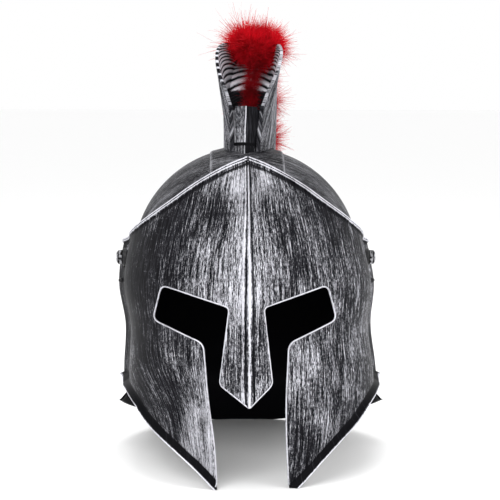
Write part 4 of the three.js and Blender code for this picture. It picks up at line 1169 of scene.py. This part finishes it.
# One tuft of barbs that fan out from a point, as thin ribbons, along +z
def tuftMesh(name, form):
    rng = np.random.default_rng(plumeForm["seed"])
    points, faces, uvs = [], [], []
    for _ in range(form["barbs"]):
        turn, lean = rng.uniform(0, 2 * math.pi), form["spread"] * math.sqrt(rng.uniform(0.02, 1))
        flat = math.sin(lean)
        direction = np.array([math.cos(turn) * flat, math.sin(turn) * flat, math.cos(lean)])
        side = unit(np.cross(direction, [math.sin(turn * 3), math.cos(turn * 2), 0.3]))
        bend = unit(np.cross(side, direction)) * rng.uniform(-1, 1) + side * rng.uniform(-0.5, 0.5)
        length = form["length"] * rng.uniform(0.45, 1.0)
        t = np.linspace(0, 1, form["segments"])
        line = direction * (t * length)[:, None] + bend * form["bend"] * (t ** 2 * length)[:, None]
        width = form["width"] * (1 - 0.75 * t)[:, None]
        first = len(points)
        for i in range(form["segments"]):
            points += [line[i] - side * width[i], line[i] + side * width[i]]
            uvs += [(t[i], 0), (t[i], 1)]
        for i in range(first, len(points) - 2, 2):
            faces.append([i, i + 1, i + 3, i + 2])
    mesh = bpy.data.meshes.new(name)
    mesh.from_pydata((np.array(points) * metres).tolist(), [], faces)
    corners = np.zeros(len(mesh.loops), np.int32)
    mesh.loops.foreach_get("vertex_index", corners)
    layer = mesh.uv_layers.new(name="barb")
    layer.data.foreach_set("uv", np.array(uvs, np.float32)[corners].ravel())
    return link(name, mesh)


tuftObjects = {name: tuftMesh(name + "_tuft", form) for name, form in tuftForms.items()}


class Tree:
    def __init__(self, name, inputs):
        self.group = bpy.data.node_groups.new(name, "GeometryNodeTree")
        self.ids = {}
        for label, kind in {"Geometry": "Geometry", **inputs}.items():
            made = self.group.interface.new_socket(label, in_out="INPUT", socket_type="NodeSocket" + kind)
            self.ids[label] = made.identifier
        self.group.interface.new_socket("Geometry", in_out="OUTPUT", socket_type="NodeSocketGeometry")
        self.given = self.add("NodeGroupInput").outputs
        self.end = self.add("NodeGroupOutput")

    def add(self, kind, settings=None, sockets=None):
        made = self.group.nodes.new(kind)
        for name, value in (settings or {}).items():
            setattr(made, name, value)
        for name, value in (sockets or {}).items():
            if isinstance(value, bpy.types.NodeSocket):
                self.group.links.new(value, made.inputs[name])
            else:
                made.inputs[name].default_value = value
        return made


# Scatters tufts over a core: they stand up from it, turned and tilted at random, as large as its size says
def tuftTree():
    tree = Tree("featherTufts", {
        "Tuft": "Object", "Density": "Float", "Seed": "Int", "Smallest": "Float", "Largest": "Float",
        "Finish": "Material"})
    given = tree.given
    size = tree.add("GeometryNodeInputNamedAttribute", {"data_type": "FLOAT"}, {"Name": "size"})
    size = size.outputs["Attribute"]
    spread = tree.add("GeometryNodeDistributePointsOnFaces", {"distribute_method": "RANDOM"}, {
        "Mesh": given["Geometry"], "Density": given["Density"], "Seed": given["Seed"]})
    tilt, spin = 0.55, 3.14
    vary = tree.add("FunctionNodeRandomValue", {"data_type": "FLOAT_VECTOR"}, {
        "Min": (-tilt, -tilt, -spin), "Max": (tilt, tilt, spin), "Seed": given["Seed"]})
    angles = tree.add("FunctionNodeEulerToRotation", {}, {"Euler": vary.outputs["Value"]})
    facing = tree.add("FunctionNodeRotateRotation", {"rotation_space": "LOCAL"}, {
        "Rotation": spread.outputs["Rotation"], "Rotate By": angles.outputs[0]})
    grown = tree.add("FunctionNodeRandomValue", {"data_type": "FLOAT"}, {
        2: given["Smallest"], 3: given["Largest"], "Seed": given["Seed"]})
    scale = tree.add("ShaderNodeMath", {"operation": "MULTIPLY"}, {0: size, 1: grown.outputs[1]})
    tooSmall = tree.add("ShaderNodeMath", {"operation": "LESS_THAN"}, {0: size, 1: 0.12})
    kept = tree.add("GeometryNodeDeleteGeometry", {"domain": "POINT"}, {
        "Geometry": spread.outputs["Points"], "Selection": tooSmall.outputs[0]})
    shape = tree.add("GeometryNodeObjectInfo", {}, {"Object": given["Tuft"]})
    placed = tree.add("GeometryNodeInstanceOnPoints", {}, {
        "Points": kept.outputs[0], "Instance": shape.outputs["Geometry"], "Rotation": facing.outputs[0],
        "Scale": scale.outputs[0]})
    real = tree.add("GeometryNodeRealizeInstances", {}, {"Geometry": placed.outputs[0]})
    painted = tree.add("GeometryNodeSetMaterial", {}, {
        "Geometry": real.outputs[0], "Material": given["Finish"]})
    tree.group.links.new(painted.outputs[0], tree.end.inputs[0])
    return tree


tufts = tuftTree()


def area(mesh):
    return sum(p.area for p in mesh.polygons)


for values in zip(*plumePieces.values()):
    row = dict(zip(plumePieces, values))
    core = plumeCore(row["name"] + "_core", row["start"], row["end"])
    grow = core.modifiers.new("tufts", "NODES")
    grow.node_group = tufts.group
    # Pieces that start deep in the trough take the feather with painted shade
    settings = {
        "Tuft": tuftObjects[row["tuft"]], "Density": row["tufts"] / area(core.data),
        "Seed": plumeForm["seed"] + row["tufts"], "Smallest": row["smallest"], "Largest": row["largest"],
        "Finish": shadedFeather if row["start"] < 1 else feather,
    }
    for label, value in settings.items():
        grow[tufts.ids[label]] = value
    mesh = evaluated(core)
    bpy.data.objects.remove(core)
    piece = link(row["name"], mesh)
    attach(piece, "skull")
    if row["name"] == "plume_front":
        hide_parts("plume")
    print("made", piece.name, sum(len(p.vertices) - 2 for p in mesh.polygons), "triangles")
for tuft in tuftObjects.values():
    bpy.data.objects.remove(tuft)

# Studio: a plain pale floor, soft light from above and both sides, and the camera; places are in metres
studio = {"floorHalf": 12, "floorDrop": 0.0004, "floorColour": (0.97, 0.97, 0.97, 1), "skyStrength": 1.0,
          "aim": np.array([0, 0, 0.2])}
lamps = {
    "name": ["key", "fill", "top", "left_edge", "right_edge"],
    "place": [(-0.5, -1.1, 1.0), (1.1, -0.8, 0.5), (0.0, 0.2, 1.4), (-1.2, 0.3, 0.3), (1.2, 0.4, 0.4)],
    "width": [0.9, 0.8, 0.8, 0.6, 0.6],
    "power": [10, 7, 6, 2.5, 3.5],
}


def makeStudio():
    half, z = studio["floorHalf"], -studio["floorDrop"]
    floorMesh = bpy.data.meshes.new("studio_floor")
    corners = [(-half, -half, z), (half, -half, z), (half, half, z), (-half, half, z)]
    floorMesh.from_pydata(corners, [], [[0, 1, 2, 3]])
    floor = link("studio_floor", floorMesh)
    pale = Finish("paleFloor", 0.8)
    pale.feed("Base Color", studio["floorColour"])
    floorMesh.materials.append(pale.material)
    world = bpy.data.worlds.new("studio")
    bpy.context.scene.world = world
    world.use_nodes = True
    world.node_tree.nodes["Background"].inputs["Color"].default_value = (1, 1, 1, 1)
    world.node_tree.nodes["Background"].inputs["Strength"].default_value = studio["skyStrength"]
    bpy.context.scene.view_settings.view_transform = "Standard"
    for name, place, width, power in zip(*lamps.values()):
        lamp = bpy.data.lights.new(name, "AREA")
        lamp.size, lamp.energy = width, power
        made = link(name, lamp)
        made.visible_camera = False
        made.matrix_world = lookFrom(np.array(place), studio["aim"] - place)


def lookFrom(place, forward, up=(0, 0, 1)):
    forward = unit(np.asarray(forward, float))
    right = unit(np.cross(forward, up))
    above = np.cross(right, forward)
    turn = Matrix(np.stack([right, above, -forward], 1).tolist()).to_4x4()
    return Matrix.Translation(place.tolist()) @ turn


view = {"distance": 1400, "height": 6.3, "turn": math.radians(1.1), "lens": 112, "sensor": 36,
        "shift": 0.008}


def makeCamera():
    data = bpy.data.cameras.new("camera")
    data.lens, data.sensor_width, data.shift_x = view["lens"], view["sensor"], view["shift"]
    camera = link("camera", data)
    forward = np.array([math.sin(view["turn"]), math.cos(view["turn"]), 0])
    place = -forward * view["distance"] + [0, 0, view["height"]]
    ends = toWorld(np.stack([place, place + forward, place + [0, 0, 1]]))
    camera.matrix_world = lookFrom(ends[0], ends[1] - ends[0], ends[2] - ends[0])
    bpy.context.scene.camera = camera


makeStudio()
makeCamera()
print("studio made")
